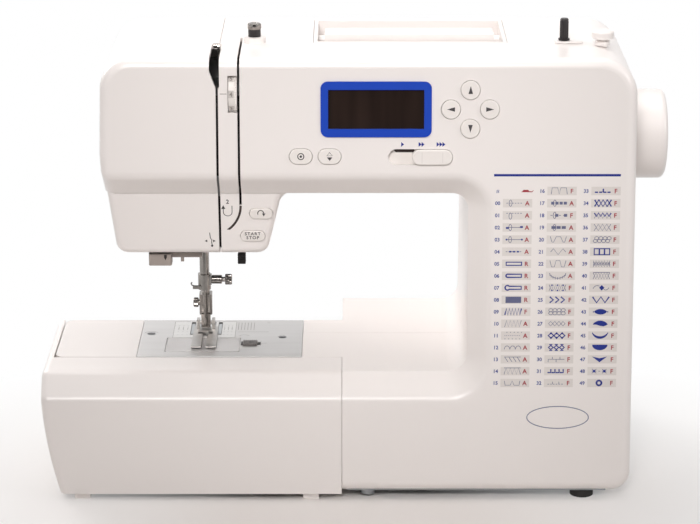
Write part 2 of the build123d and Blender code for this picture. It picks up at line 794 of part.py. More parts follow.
with BuildPart() as arm_frame:
    block((upper_bearing_left, frame_right), (frame_y, frame_back), (beam_foot, beam_top))
    block(
        (frame_right - bearing_width, frame_right), (frame_y, frame_back),
        (foot_height + base_thickness, beam_top),
    )
    block((frame_right - 40, frame_right + 10), (frame_y - 10, frame_back + 10),
          (foot_height + base_thickness, foot_height + base_thickness + 6))
    block((plate_left, frame_right), (frame_y, frame_back), (bed_beam_foot, bed_beam_top))
    for bearing_x in upper_bearings:
        block((bearing_x, bearing_x + bearing_width), (-bearing_half, frame_back),
              (shaft_z - bearing_half, shaft_z + bearing_half))
    for bearing_x in lower_bearings:
        block((bearing_x, bearing_x + bearing_width), (-bearing_half + 2, frame_back),
              (bed_beam_foot, lower_z + bearing_half - 2))
    # Head plate and the eyes that guide the needle bar and the presser bar
    head_plate_right = head_right - 2 * wall
    block((threader_x - 6, head_plate_right), (frame_face, frame_face + 8), head_plate)
    block((head_plate_right - 1, upper_bearing_left + bearing_width), (frame_face, frame_face + 8),
          (beam_foot, beam_top))
    for eye in (eye_upper, eye_lower):
        block((needle_x - 7.5, needle_x + 7.5), (needle_y - 6.5, frame_face + 1), eye)
    block((needle_x - 7.5, needle_x + 7.5), (frame_face, frame_face + 8), (eye_lower[0], threader_eye[0]))
    block((threader_x - 6, threader_x + 6), (threader_y - 6, frame_face + 1), threader_eye)
    block((buttonhole_x - 4.5, buttonhole_x + 4.5), (buttonhole_y - 5, frame_face + 8), buttonhole_eye)
    # Pivot of the take-up lever and pin of the tension dial
    pivot_left = face_x - take_up_thickness / 2 - slide_gap
    block((pivot_left - 4, pivot_left), (take_up_pivot_y - 4, frame_face + 1),
          (take_up_pivot_z - 4, take_up_pivot_z + 4))
    rod_x((pivot_left - 1, face_x + take_up_thickness / 2 + 0.5), take_up_pivot_y, take_up_pivot_z, 2)
    dial_arm_left = dial_x + dial_width / 2 + slide_gap
    dial_arm_z = (dial_axis_z - 5, dial_axis_z + 5)
    block((dial_arm_left, upper_bearing_left + 4), (dial_y - 5, frame_back), dial_arm_z)
    block((upper_bearing_left, upper_bearing_left + 4), (frame_y, frame_back), (beam_top - 1, dial_arm_z[1]))
    rod_x((dial_x - dial_width / 2 - 1, dial_arm_left + 1), dial_y, dial_axis_z, dial_pin_radius)
    # Carrier of the hook and seat of the feed dog
    block((needle_x - 8, needle_x + 8), (hook_y - 8, frame_y + 1), hook_carrier)
    block((needle_x - 20, needle_x + 20), (frame_y, frame_back), (bed_beam_top - 1, feed_seat - slide_gap))
    # Shelf that the motor hangs from
    block((frame_right - bearing_width, frame_right), (frame_y, motor_y),
          (motor_z + motor_radius + slide_gap, motor_z + motor_radius + 6))
    # Bores
    for bearing_x in upper_bearings:
        rod_x(
            (bearing_x - 1, bearing_x + bearing_width + 1), 0, shaft_z, bush_radius + press_gap,
            mode=Mode.SUBTRACT,
        )
    for bearing_x in lower_bearings:
        rod_x((bearing_x - 1, bearing_x + bearing_width + 1), 0, lower_z, lower_bush_radius + press_gap,
              mode=Mode.SUBTRACT)
    rod_z(
        needle_x, needle_y, (head_height, eye_upper[1] + 1), needle_bar_radius + running_gap,
        mode=Mode.SUBTRACT,
    )
    rod_z(
        needle_x, presser_y, (head_height, eye_upper[1] + 1), presser_radius + running_gap, mode=Mode.SUBTRACT
    )
    rod_z(threader_x, threader_y, threader_eye, threader_rod + running_gap, mode=Mode.SUBTRACT)
    rod_z(buttonhole_x, buttonhole_y, buttonhole_eye, buttonhole_rod + running_gap, mode=Mode.SUBTRACT)
    rod_z(needle_x, hook_y, hook_carrier, hook_shaft_radius + running_gap, mode=Mode.SUBTRACT)
arm_frame.part.label = "arm_frame"
export_step(arm_frame.part, "parts/arm_frame.step")

with BuildPart() as shaft_bushes:
    for bearing_x in upper_bearings:
        rod_x((bearing_x, bearing_x + bearing_width), 0, shaft_z, bush_radius)
        rod_x(
            (bearing_x, bearing_x + bearing_width), 0, shaft_z, shaft_radius + running_gap, mode=Mode.SUBTRACT
        )
    for bearing_x in lower_bearings:
        rod_x((bearing_x, bearing_x + bearing_width), 0, lower_z, lower_bush_radius)
        rod_x(
            (bearing_x, bearing_x + bearing_width), 0, lower_z, lower_radius + running_gap, mode=Mode.SUBTRACT
        )
shaft_bushes.part.label = "shaft_bushes"
export_step(shaft_bushes.part, "parts/shaft_bushes.step")

# Upper drive: shaft with its crank and pulleys, and the handwheel
half_pulley = pulley_width / 2
with BuildPart() as main_shaft:
    rod_x((shaft_left, handwheel_right - handwheel_face - slide_gap), 0, shaft_z, shaft_radius)
    rod_x((shaft_left, shaft_left + crank_width), 0, shaft_z, crank_radius)
    rod_x((shaft_left - crank_pin_length, shaft_left + 1), 0, shaft_z + crank_throw, crank_pin_radius)
    rod_x((timing_x - half_pulley, timing_x + half_pulley), 0, shaft_z, timing_radius)
    rod_x((drive_x - half_pulley, drive_x + half_pulley), 0, shaft_z, drive_radius)
main_shaft.part.label = "main_shaft"
export_step(main_shaft.part, "parts/main_shaft.step")

with BuildPart() as handwheel:
    rod_x((handwheel_left, handwheel_right), 0, shaft_z, handwheel_radius)
    rims = handwheel.edges().filter_by(GeomType.CIRCLE).sort_by(Axis.X)
    fillet(rims[-1], handwheel_rim)
    fillet(handwheel.edges().filter_by(GeomType.CIRCLE).sort_by(Axis.X)[0], handwheel_rim / 2)
    dish_floor = handwheel_left + handwheel_dish
    rod_x((handwheel_left - 1, dish_floor), 0, shaft_z, handwheel_radius - handwheel_rim, mode=Mode.SUBTRACT)
    rod_x((handwheel_left, dish_floor + 1), 0, shaft_z, shaft_radius + handwheel_rim)
    rod_x(
        (handwheel_left - 1, handwheel_right - handwheel_face), 0, shaft_z, shaft_radius + press_gap,
        mode=Mode.SUBTRACT,
    )
handwheel.part.label = "handwheel"
export_step(handwheel.part, "parts/handwheel.step")


def belt_loop(x, low, high, low_radius, high_radius):
    """A flat belt round two pulleys, given by their Y and Z and their radii."""
    with BuildPart() as loop:
        with BuildSketch(Plane.YZ.offset(x - half_pulley + 0.5)):
            with Locations(low):
                Circle(low_radius + slide_gap + belt_thickness)
            with Locations(high):
                Circle(high_radius + slide_gap + belt_thickness)
            make_hull()
        extrude(amount=pulley_width - 1)
        with BuildSketch(Plane.YZ.offset(x - half_pulley)):
            with Locations(low):
                Circle(low_radius + slide_gap)
            with Locations(high):
                Circle(high_radius + slide_gap)
            make_hull()
        extrude(amount=pulley_width + 1, mode=Mode.SUBTRACT)
    return loop


timing_belt = belt_loop(timing_x, (0, lower_z), (0, shaft_z), timing_radius, timing_radius)
timing_belt.part.label = "timing_belt"
export_step(timing_belt.part, "parts/timing_belt.step")

motor_belt = belt_loop(drive_x, (motor_y, motor_z), (0, shaft_z), motor_pulley_radius, drive_radius)
motor_belt.part.label = "motor_belt"
export_step(motor_belt.part, "parts/motor_belt.step")

motor_right = frame_right + 2
with BuildPart() as motor:
    rod_x((motor_right - motor_length, motor_right), motor_y, motor_z, motor_radius)
    rod_x((motor_right - 1, drive_x + half_pulley), motor_y, motor_z, motor_shaft_radius)
motor.part.label = "motor"
export_step(motor.part, "parts/motor.step")

with BuildPart() as motor_pulley:
    rod_x((drive_x - half_pulley, drive_x + half_pulley), motor_y, motor_z, motor_pulley_radius)
    rod_x(
        (drive_x - far, drive_x + far), motor_y, motor_z, motor_shaft_radius + running_gap, mode=Mode.SUBTRACT
    )
motor_pulley.part.label = "motor_pulley"
export_step(motor_pulley.part, "parts/motor_pulley.step")

# Lower drive: shaft, hook and feed
with BuildPart() as lower_shaft:
    rod_x((needle_x - worm_width, timing_x + half_pulley), 0, lower_z, lower_radius)
    rod_x((needle_x - worm_width / 2, needle_x + worm_width / 2), 0, lower_z, worm_radius)
    rod_x((timing_x - half_pulley, timing_x + half_pulley), 0, lower_z, timing_radius)
lower_shaft.part.label = "lower_shaft"
export_step(lower_shaft.part, "parts/lower_shaft.step")

hook_top = plate_foot - 2
with BuildPart() as hook:
    rod_z(needle_x, hook_y, (hook_floor, hook_top), hook_radius)
    rod_z(needle_x, hook_y, (hook_floor + 3, hook_top), hook_radius - hook_wall, mode=Mode.SUBTRACT)
    rod_z(needle_x, hook_y, (hook_carrier[0] + 2, hook_floor + 1), hook_shaft_radius)
    rod_z(needle_x, hook_y, (lower_z - 5, lower_z + 5), -hook_y - worm_radius - slide_gap)
hook.part.label = "hook"
export_step(hook.part, "parts/hook.step")

with BuildPart() as bobbin_holder:
    cup_radius = hook_radius - hook_wall - 0.8
    rod_z(needle_x, hook_y, (hook_floor + 3.5, hook_top), cup_radius)
    rod_z(needle_x, hook_y, (hook_floor + 5, hook_top), cup_radius - 1.5, mode=Mode.SUBTRACT)
bobbin_holder.part.label = "bobbin_holder"
export_step(bobbin_holder.part, "parts/bobbin_holder.step")

with BuildPart() as feed_dog:
    feed_back = feed_front + feed_length
    block((needle_x - 13, needle_x + 13), (feed_front + 2, feed_back), (feed_seat, feed_seat + 6))
    for bar_x in feed_bars:
        bar_range = (needle_x + bar_x - feed_bar_width / 2, needle_x + bar_x + feed_bar_width / 2)
        block(bar_range, (feed_front, feed_back), (feed_seat + 5, bed_height - slide_gap))
feed_dog.part.label = "feed_dog"
export_step(feed_dog.part, "parts/feed_dog.step")

# Needle bar group
rod_pin_z = shaft_z - 23
rod_left = -83.0
rod_right = -79.5
with BuildPart() as needle_bar:
    rod_z(needle_x, needle_y, (needle_bar_foot, needle_bar_top), needle_bar_radius)
    block((needle_x - 5, rod_left - 0.4), (needle_y - 5, needle_y + 5), (rod_pin_z - 4, rod_pin_z + 4))
    rod_x((rod_left - 1, rod_right), needle_y, rod_pin_z, 2)
needle_bar.part.label = "needle_bar"
export_step(needle_bar.part, "parts/needle_bar.step")

with BuildPart() as connecting_rod:
    with BuildSketch(Plane.YZ.offset(rod_left)):
        with Locations((needle_y, rod_pin_z)):
            Circle(5)
        with Locations((0, shaft_z + crank_throw)):
            Circle(crank_pin_radius + 3.5)
        make_hull()
        with Locations((needle_y, rod_pin_z)):
            Circle(2 + running_gap, mode=Mode.SUBTRACT)
        with Locations((0, shaft_z + crank_throw)):
            Circle(crank_pin_radius + running_gap, mode=Mode.SUBTRACT)
    extrude(amount=rod_right - rod_left)
connecting_rod.part.label = "connecting_rod"
export_step(connecting_rod.part, "parts/connecting_rod.step")

clamp_foot = needle_bar_foot - 3.5
clamp_half = 4.2
clamp_reach = 4.8
screw_axis_z = needle_bar_foot + 3
with BuildPart() as needle_clamp:
    rod_z(needle_x, needle_y, (clamp_foot, needle_bar_foot + 7), clamp_half)
    block(
        (needle_x, needle_x + clamp_reach), (needle_y - 3, needle_y + 3),
        (needle_bar_foot, needle_bar_foot + 6),
    )
    block((needle_x - 7.5, needle_x), (needle_y - 4, needle_y - 2.4), (clamp_foot + 1, clamp_foot + 3))
    rod_z(needle_x, needle_y, (needle_bar_foot, far), needle_bar_radius + press_gap, mode=Mode.SUBTRACT)
    rod_z(needle_x, needle_y, (0, needle_bar_foot), needle_radius + press_gap, mode=Mode.SUBTRACT)
needle_clamp.part.label = "needle_clamp"
export_step(needle_clamp.part, "parts/needle_clamp.step")

with BuildPart() as clamp_screw:
    screw_left = needle_x + clamp_reach + press_gap
    screw_neck = screw_left + 6.8
    screw_head = screw_neck + 2
    rod_x((screw_left, screw_neck), needle_y, screw_axis_z, 2.9)
    rod_x((screw_neck - 1, screw_head + 1), needle_y, screw_axis_z, 1.6)
    rod_x((screw_head, screw_head + 4.5), needle_y, screw_axis_z, 3.5)
clamp_screw.part.label = "clamp_screw"
export_step(clamp_screw.part, "parts/clamp_screw.step")

with BuildPart() as needle:
    rod_z(needle_x, needle_y, (needle_tip + 4, needle_bar_foot - press_gap), needle_radius)
    with Locations((needle_x, needle_y, needle_tip + 2)):
        Cone(0.1, needle_radius, 4)
needle.part.label = "needle"
export_step(needle.part, "parts/needle.step")

with BuildPart() as take_up_lever:
    with BuildSketch(Plane.YZ.offset(face_x - take_up_thickness / 2)):
        with Locations((take_up_pivot_y, take_up_pivot_z)):
            Circle(4)
        with Locations((take_up_tip_y, take_up_tip_z - 2)):
            Circle(2)
        make_hull()
        with Locations((take_up_pivot_y, take_up_pivot_z)):
            Circle(2 + running_gap, mode=Mode.SUBTRACT)
    extrude(amount=take_up_thickness)
    rod_x((face_x - 3.2, face_x + 0.9), take_up_tip_y, take_up_tip_z - 1.2, 1.6)
take_up_lever.part.label = "take_up_lever"
export_step(take_up_lever.part, "parts/take_up_lever.step")

# Presser group
foot_seat = bed_height + lift_gap
foot_pin_y = presser_y - 3
foot_pin_z = foot_seat + 6
holder_foot = foot_pin_z - 2.6
bar_foot = holder_top - 8
with BuildPart() as presser_bar:
    rod_z(needle_x, presser_y, (bar_foot, presser_top), presser_radius)
presser_bar.part.label = "presser_bar"
export_step(presser_bar.part, "parts/presser_bar.step")

with BuildPart() as foot_holder:
    half_holder = holder_width / 2
    block((needle_x - half_holder, needle_x + half_holder), (presser_y - 4.5, presser_y + 4.5),
          (holder_top - 14, holder_top))
    fillet(foot_holder.edges().filter_by(Axis.Z), 1.5)
    block((needle_x - 3, needle_x + 3), (foot_pin_y - 3, presser_y + 3), (holder_foot, holder_top - 13))
    rod_z(needle_x, presser_y, (bar_foot, far), presser_radius + press_gap, mode=Mode.SUBTRACT)
    rod_x((needle_x - far, needle_x + far), foot_pin_y, foot_pin_z, 1.2 + running_gap, mode=Mode.SUBTRACT)
foot_holder.part.label = "foot_holder"
export_step(foot_holder.part, "parts/foot_holder.step")

with BuildPart() as holder_screw:
    screw_right = needle_x - half_holder - press_gap
    holder_screw_z = holder_top - 6.7
    rod_x((screw_right - 4, screw_right), presser_y, holder_screw_z, 3.2)
    rod_x((screw_right - 1, screw_right), presser_y, holder_screw_z, 2)
holder_screw.part.label = "holder_screw"
export_step(holder_screw.part, "parts/holder_screw.step")

with BuildPart() as presser_foot:
    foot_half = foot_width / 2
    foot_back = foot_front + foot_length
    toe_length = 6.0
    toe_lift = 1.2
    with BuildSketch(Plane.YZ.offset(needle_x - foot_half)):
        Polygon(
            (foot_front, foot_seat + toe_lift),
            (foot_front + toe_length, foot_seat),
            (foot_back, foot_seat),
            (foot_back, foot_seat + foot_thickness),
            (foot_front + toe_length, foot_seat + foot_thickness),
            (foot_front, foot_seat + toe_lift + foot_thickness * 0.6),
            align=None,
        )
    extrude(amount=foot_width)
    block((needle_x - 4.7, needle_x + 4.7), (needle_y - 2, needle_y + 2), (0, far), mode=Mode.SUBTRACT)
    block((needle_x - 1.6, needle_x + 1.6), (foot_front - 1, needle_y), (0, far), mode=Mode.SUBTRACT)
    for ear in (-1, 1):
        ear_x = needle_x + ear * 5
        block((ear_x - 1, ear_x + 1), (foot_pin_y - 3, foot_pin_y + 3), (foot_seat + 1, foot_pin_z + 2.4))
    rod_x((needle_x - 5, needle_x + 5), foot_pin_y, foot_pin_z, 1.2)
presser_foot.part.label = "presser_foot"
export_step(presser_foot.part, "parts/presser_foot.step")

with BuildPart() as presser_lifter:
    rod_y(lifter_x, (head_back - 10, head_back + 3), lifter_z, lifter_pin)
    lever_y = (head_back + 2, head_back + 6)
    block((lifter_x - 4, lifter_x + 4), lever_y, (lifter_z - lifter_length, lifter_z + 5))
    fillet(presser_lifter.edges().filter_by(Axis.Y).filter_by(GeomType.LINE), 2.5)
    block((lifter_x - 10, lifter_x + 4), (head_back - 12, head_back - 8), (lifter_z - 3.5, lifter_z + 3.5))
presser_lifter.part.label = "presser_lifter"
export_step(presser_lifter.part, "parts/presser_lifter.step")

# Levers and lamp under the head
under_head = head_height - slide_gap
with BuildPart() as needle_threader:
    rod_z(threader_x, threader_y, (under_head - 3, threader_eye[1] + 62), threader_rod)
    block(
        (threader_x - 7.2, threader_x + 7.4), (threader_y - 5, threader_y + 5),
        (under_head - 9.5, under_head - 2),
    )
    fillet(needle_threader.edges().filter_by(Axis.Z).filter_by(GeomType.LINE), 1.5)
    block(
        (threader_x + 5, needle_x + 1), (threader_y - 1.5, threader_y + 1.5), (under_head - 5, under_head - 2)
    )
    block(
        (threader_x + 13, threader_x + 15), (threader_y - 1, threader_y + 1), (under_head - 8, under_head - 4)
    )
needle_threader.part.label = "needle_threader"
export_step(needle_threader.part, "parts/needle_threader.step")

with BuildPart() as buttonhole_lever:
    knob_foot = head_height - 14.6
    rod_z(buttonhole_x, buttonhole_y, (knob_foot + 3, buttonhole_eye[1] + 32), buttonhole_rod)
    block((buttonhole_x - 2.4, buttonhole_x + 2.4), (buttonhole_y - 2.6, buttonhole_y + 2.6),
          (knob_foot, knob_foot + 7))
buttonhole_lever.part.label = "buttonhole_lever"
export_step(buttonhole_lever.part, "parts/buttonhole_lever.step")

lamp_left = threader_x - 12 + slide_gap
with BuildPart() as lamp:
    block((lamp_left, lamp_left + 6), (5, 35), (head_height + 0.2, head_height + 5))
    fillet(lamp.edges().group_by(Axis.Z)[0], 1)
lamp.part.label = "lamp"
export_step(lamp.part, "parts/lamp.step")

# Front panel: display, board, keys, slider and dial
with BuildPart() as display_bezel:
    with BuildSketch(panel(display_x, display_z).offset(-bezel_depth)):
        RectangleRounded(bezel_width, bezel_height, bezel_round)
        Rectangle(window_width + 2 * press_gap, window_height + 2 * press_gap, mode=Mode.SUBTRACT)
    extrude(amount=bezel_depth + bezel_rise)
display_bezel.part.label = "display_bezel"
export_step(display_bezel.part, "parts/display_bezel.step")

with BuildPart() as display_window:
    with BuildSketch(panel(display_x, display_z).offset(-window_recess - window_thickness)):
        Rectangle(window_width, window_height)
    extrude(amount=window_thickness)
display_window.part.label = "display_window"
export_step(display_window.part, "parts/display_window.step")

with BuildPart() as control_board:
    with BuildSketch(panel(board_x, board_z).offset(-board_depth)):
        Rectangle(board_width, board_height)
    extrude(amount=-board_thickness)
    with BuildSketch(panel(display_x, display_z).offset(-board_depth - board_thickness / 2)):
        Rectangle(window_width - 2, window_height - 2)
    extrude(amount=board_depth + board_thickness / 2 - window_recess - window_thickness - 0.1)
control_board.part.label = "control_board"
export_step(control_board.part, "parts/control_board.step")


def push_key(face, width, height):
    """A push button: its cap, and the lip that keeps it behind the panel."""
    lip_top = wall + slide_gap
    with BuildPart() as key:
        with BuildSketch(face):
            key_outline(width, height)
        extrude(amount=button_rise)
        outward = Axis(face.origin, face.z_dir)
        fillet(key.faces().sort_by(outward)[-1].edges(), button_rise / 2)
        with BuildSketch(face):
            key_outline(width, height)
        extrude(amount=-(lip_top + button_lip_thickness))
        with BuildSketch(face.offset(-lip_top - button_lip_thickness)):
            key_outline(width + 2 * button_lip, height + 2 * button_lip)
        extrude(amount=button_lip_thickness)
    return key


arrow_size = 2 * arrow_radius
keys = {
    "arrow_up_button": (panel(arrow_x, arrow_z + arrow_offset), arrow_size, arrow_size),
    "arrow_down_button": (panel(arrow_x, arrow_z - arrow_offset), arrow_size, arrow_size),
    "arrow_left_button": (panel(arrow_x - arrow_offset, arrow_z), arrow_size, arrow_size),
    "arrow_right_button": (panel(arrow_x + arrow_offset, arrow_z), arrow_size, arrow_size),
    "lock_stitch_button": (panel(lock_x, pill_z), pill_width, pill_height),
    "needle_position_button": (panel(needle_key_x, pill_z), pill_width, pill_height),
    "reverse_button": (head_panel(reverse_x, reverse_z), reverse_width, reverse_height),
    "start_stop_button": (head_panel(start_x, start_z), start_width, start_height),
}
for key_name, (key_face, key_width, key_height) in keys.items():
    key = push_key(key_face, key_width, key_height)
    key.part.label = key_name
    export_step(key.part, f"parts/{key_name}.step")

knob_height = slider_height - 2 * slide_gap
knob_x = slider_x + slider_length / 2 - slide_gap - slider_knob / 2
with BuildPart() as speed_slider:
    apron_back = wall + slide_gap + slider_apron
    with BuildSketch(panel(knob_x, slider_z).offset(-apron_back)):
        SlotOverall(slider_knob, knob_height)
    extrude(amount=apron_back + slider_rise)
    fillet(speed_slider.faces().sort_by(Axis.Y)[0].edges(), slider_rise / 3)
    # The apron is long enough to close the slot behind the knob at both ends of its travel
    with BuildSketch(panel(knob_x, slider_z).offset(-apron_back)):
        Rectangle(2 * slider_length - slider_knob + 2, slider_height + 5)
    extrude(amount=slider_apron)
speed_slider.part.label = "speed_slider"
export_step(speed_slider.part, "parts/speed_slider.step")

with BuildPart() as tension_dial:
    rod_x((dial_x - dial_width / 2, dial_x + dial_width / 2), dial_y, dial_axis_z, dial_radius)
    rod_x(
        (dial_x - far, dial_x + far), dial_y, dial_axis_z, dial_pin_radius + running_gap, mode=Mode.SUBTRACT
    )
tension_dial.part.label = "tension_dial"
export_step(tension_dial.part, "parts/tension_dial.step")

# Top: tray, handle, spool pin, bobbin winder and thread guide
tray_floor = top_height - tray_depth
with BuildPart() as top_tray:
    block((tray_left, tray_right), (tray_front, tray_back), (tray_floor, top_height))
    block((tray_left + tray_wall, tray_right - tray_wall), (tray_front + tray_wall, tray_back - tray_wall),
          (tray_floor + tray_wall, far), mode=Mode.SUBTRACT)
    rod_x((tray_left - 1, tray_right + 1), handle_pivot_y, handle_pivot_z, handle_stud_radius + running_gap,
          mode=Mode.SUBTRACT)
top_tray.part.label = "top_tray"
export_step(top_tray.part, "parts/top_tray.step")

handle_top = top_height + handle_rise
with BuildPart() as handle:
    block(
        (handle_left, handle_right), (handle_front, handle_front + handle_grip), (handle_top - 12, handle_top)
    )
    for arm_x in (handle_left, handle_right - handle_arm):
        block((arm_x, arm_x + handle_arm), (handle_front, handle_pivot_y + 5),
              (handle_pivot_z - 4, handle_pivot_z + 5))
    fillet(handle.edges().group_by(Axis.Z)[-1], 2)
    rod_x((tray_left + 1, handle_left + 1), handle_pivot_y, handle_pivot_z, handle_stud_radius)
    rod_x((handle_right - 1, tray_right - 1), handle_pivot_y, handle_pivot_z, handle_stud_radius)
handle.part.label = "handle"
export_step(handle.part, "parts/handle.step")

with BuildPart() as spool_pin:
    rod_x((handle_left, handle_left + spool_length), spool_y, spool_z, spool_radius)
    block((handle_left, handle_left + 6), (spool_y - 3, spool_y + 3), (tray_floor + tray_wall, spool_z + 3))
spool_pin.part.label = "spool_pin"
export_step(spool_pin.part, "parts/spool_pin.step")

winder_plate_top = top_height + slide_gap + 1.2
with BuildPart() as winder_slide:
    block(
        (winder_x - 6, winder_x + 11.5), (winder_y - 4.5, winder_y + 4.5),
        (top_height + slide_gap, winder_plate_top),
    )
    rod_z(winder_x, winder_y, (top_height - 9, winder_plate_top), 3.2)
    rod_z(winder_x, winder_y, (0, far), 1.8 + running_gap, mode=Mode.SUBTRACT)
winder_slide.part.label = "winder_slide"
export_step(winder_slide.part, "parts/winder_slide.step")

with BuildPart() as winder_spindle:
    spindle_foot = winder_plate_top + slide_gap
    rod_z(winder_x, winder_y, (spindle_foot, spindle_foot + winder_height), winder_radius)
    rod_z(winder_x, winder_y, (spindle_foot, spindle_foot + 1), winder_radius + 0.9)
    rod_z(winder_x, winder_y, (top_height - 12, spindle_foot + 1), 1.8)
    rod_z(winder_x, winder_y, (top_height - 14, top_height - 9 - slide_gap), 11)
    chamfer(winder_spindle.edges().group_by(Axis.Z)[-1], 0.6)
winder_spindle.part.label = "winder_spindle"
export_step(winder_spindle.part, "parts/winder_spindle.step")

with BuildPart() as bobbin_stopper:
    rod_z(stopper_x, stopper_y, (top_height - 6, top_height + 4), 3)
    rod_z(stopper_x, stopper_y, (top_height + 0.3, top_height + 3), 4.6)
    rod_z(stopper_x, stopper_y, (top_height + 3, top_height + 6), 3.5)
    rod_z(stopper_x, stopper_y, (top_height + 5, top_height + 9.5), 7)
    fillet(bobbin_stopper.edges().group_by(Axis.Z)[-1], 1)
bobbin_stopper.part.label = "bobbin_stopper"
export_step(bobbin_stopper.part, "parts/bobbin_stopper.step")

with BuildPart() as guide_stud:
    guide_boss_top = top_height + guide_boss_rise
    rod_z(guide_x, guide_y, (top_height - 5, guide_boss_top + 1), guide_pin_radius)
    rod_z(guide_x, guide_y, (guide_boss_top, top_height + guide_neck_top), guide_neck_radius)
guide_stud.part.label = "guide_stud"
export_step(guide_stud.part, "parts/guide_stud.step")

with BuildPart() as guide_cap:
    guide_cap_foot = top_height + guide_neck_top
    rod_z(guide_x, guide_y, (guide_cap_foot, guide_cap_foot + guide_cap_height), guide_neck_radius + 0.3)
    fillet(guide_cap.edges().group_by(Axis.Z)[-1], 1)
guide_cap.part.label = "guide_cap"
export_step(guide_cap.part, "parts/guide_cap.step")

# Right side: mains switch and inlet
with BuildPart() as power_switch:
    block((column_right - wall - 2, column_right + 1.5), switch_span,
          (switch_z - switch_height / 2, switch_z + switch_height / 2))
    rod_y(column_right - wall, (switch_span[0] - 1.5, switch_span[1] + 1.5), switch_z, 1.5)
power_switch.part.label = "power_switch"
export_step(power_switch.part, "parts/power_switch.step")

with BuildPart() as power_inlet:
    block(
        (column_right - 14, column_right), switch_span,
        (inlet_z - inlet_height / 2, inlet_z + inlet_height / 2),
    )
    block(
        (column_right - 9, far), (switch_y - 7, switch_y + 7), (inlet_z - 5, inlet_z + 5), mode=Mode.SUBTRACT
    )
power_inlet.part.label = "power_inlet"
export_step(power_inlet.part, "parts/power_inlet.step")

with BuildPart() as screws:
    for screw_x, screw_z in back_screws:
        with BuildSketch(back_panel(screw_x, screw_z)):
            Circle(3.2)
        extrude(amount=1.6)
        with BuildSketch(back_panel(screw_x, screw_z)):
            Circle(1.5)
        extrude(amount=-2 * wall)
    for screw_x, screw_y in ((-47.6, -0.6), (-134.5, 6.0)):
        rod_z(screw_x, screw_y, (plate_foot, bed_height - 0.2), 3)
        rod_z(screw_x, screw_y, (bed_height - 9, plate_foot + 1), 1.5)
screws.part.label = "screws"
export_step(screws.part, "parts/screws.step")
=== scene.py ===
"""The looks of the sewing machine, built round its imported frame. Metres, in the frame's own axes."""
import json
import math

import bmesh
import bpy
from mathutils import Matrix, Vector


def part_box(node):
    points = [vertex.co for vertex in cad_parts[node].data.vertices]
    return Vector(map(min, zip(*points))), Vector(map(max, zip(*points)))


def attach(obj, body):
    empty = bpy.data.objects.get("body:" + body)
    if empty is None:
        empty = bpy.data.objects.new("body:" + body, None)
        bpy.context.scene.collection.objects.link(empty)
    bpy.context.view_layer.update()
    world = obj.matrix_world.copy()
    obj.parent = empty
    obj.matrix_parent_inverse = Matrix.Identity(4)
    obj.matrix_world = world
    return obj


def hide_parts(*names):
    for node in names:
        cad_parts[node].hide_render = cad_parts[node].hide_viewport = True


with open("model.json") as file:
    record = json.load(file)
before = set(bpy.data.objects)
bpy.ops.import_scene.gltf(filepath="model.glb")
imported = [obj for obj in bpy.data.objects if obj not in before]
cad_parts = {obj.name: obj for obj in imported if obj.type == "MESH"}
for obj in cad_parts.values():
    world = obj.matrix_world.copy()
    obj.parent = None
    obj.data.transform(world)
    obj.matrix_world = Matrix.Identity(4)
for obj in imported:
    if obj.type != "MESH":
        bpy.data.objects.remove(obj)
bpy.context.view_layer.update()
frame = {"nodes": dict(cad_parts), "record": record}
nodes = frame["nodes"]
mm = 0.001

# Slopes and feet of the front panel, the lower head and the back, and the bed's height, in millimetres
panel_slope = math.tan(math.radians(5.06))
panel_foot = -85.0 - 5.0 * panel_slope
head_slope = -math.tan(math.radians(9.4))
head_foot = -53.88 - 195.0 * head_slope
back_slope = -math.tan(math.radians(4.84))
back_foot = 85.0 - 5.0 * back_slope
bed_top = 80.0
# How far a key's face stands out
key_rise = 1.2
# The needle and the needle plate's screws, on the bed
needle_x = -98.5
needle_y = 1.5
left_screw = (-134.5, 6.0)
right_screw = (-47.6, -0.6)


# Materials


def linear(hex_colour):
    """The linear RGBA of an sRGB hex colour."""
    channels = [int(hex_colour[i:i + 2], 16) / 255 for i in (1, 3, 5)]
    curve = [c / 12.92 if c <= 0.04045 else ((c + 0.055) / 1.055) ** 2.4 for c in channels]
    return (*curve, 1.0)


def add_node(tree, kind, links=(), **settings):
    """Adds a node, sets its sockets or attributes by name, and links (socket, source socket) pairs."""
    node = tree.nodes.new(kind)
    for name, value in settings.items():
        label = name.replace("_", " ").title()
        if label in node.inputs:
            node.inputs[label].default_value = value
        else:
            setattr(node, name, value)
    for socket, source in links:
        tree.links.new(source, node.inputs[socket])
    return node


def surface(name, colour, roughness, **sockets):
    """A material with one Principled shader, set by its socket names."""
    material = bpy.data.materials.new(name)
    material.use_nodes = True
    shader = material.node_tree.nodes["Principled BSDF"]
    shader.inputs["Base Color"].default_value = linear(colour)
    shader.inputs["Roughness"].default_value = roughness
    for socket, value in sockets.items():
        shader.inputs[socket.replace("_", " ")].default_value = value
    return material


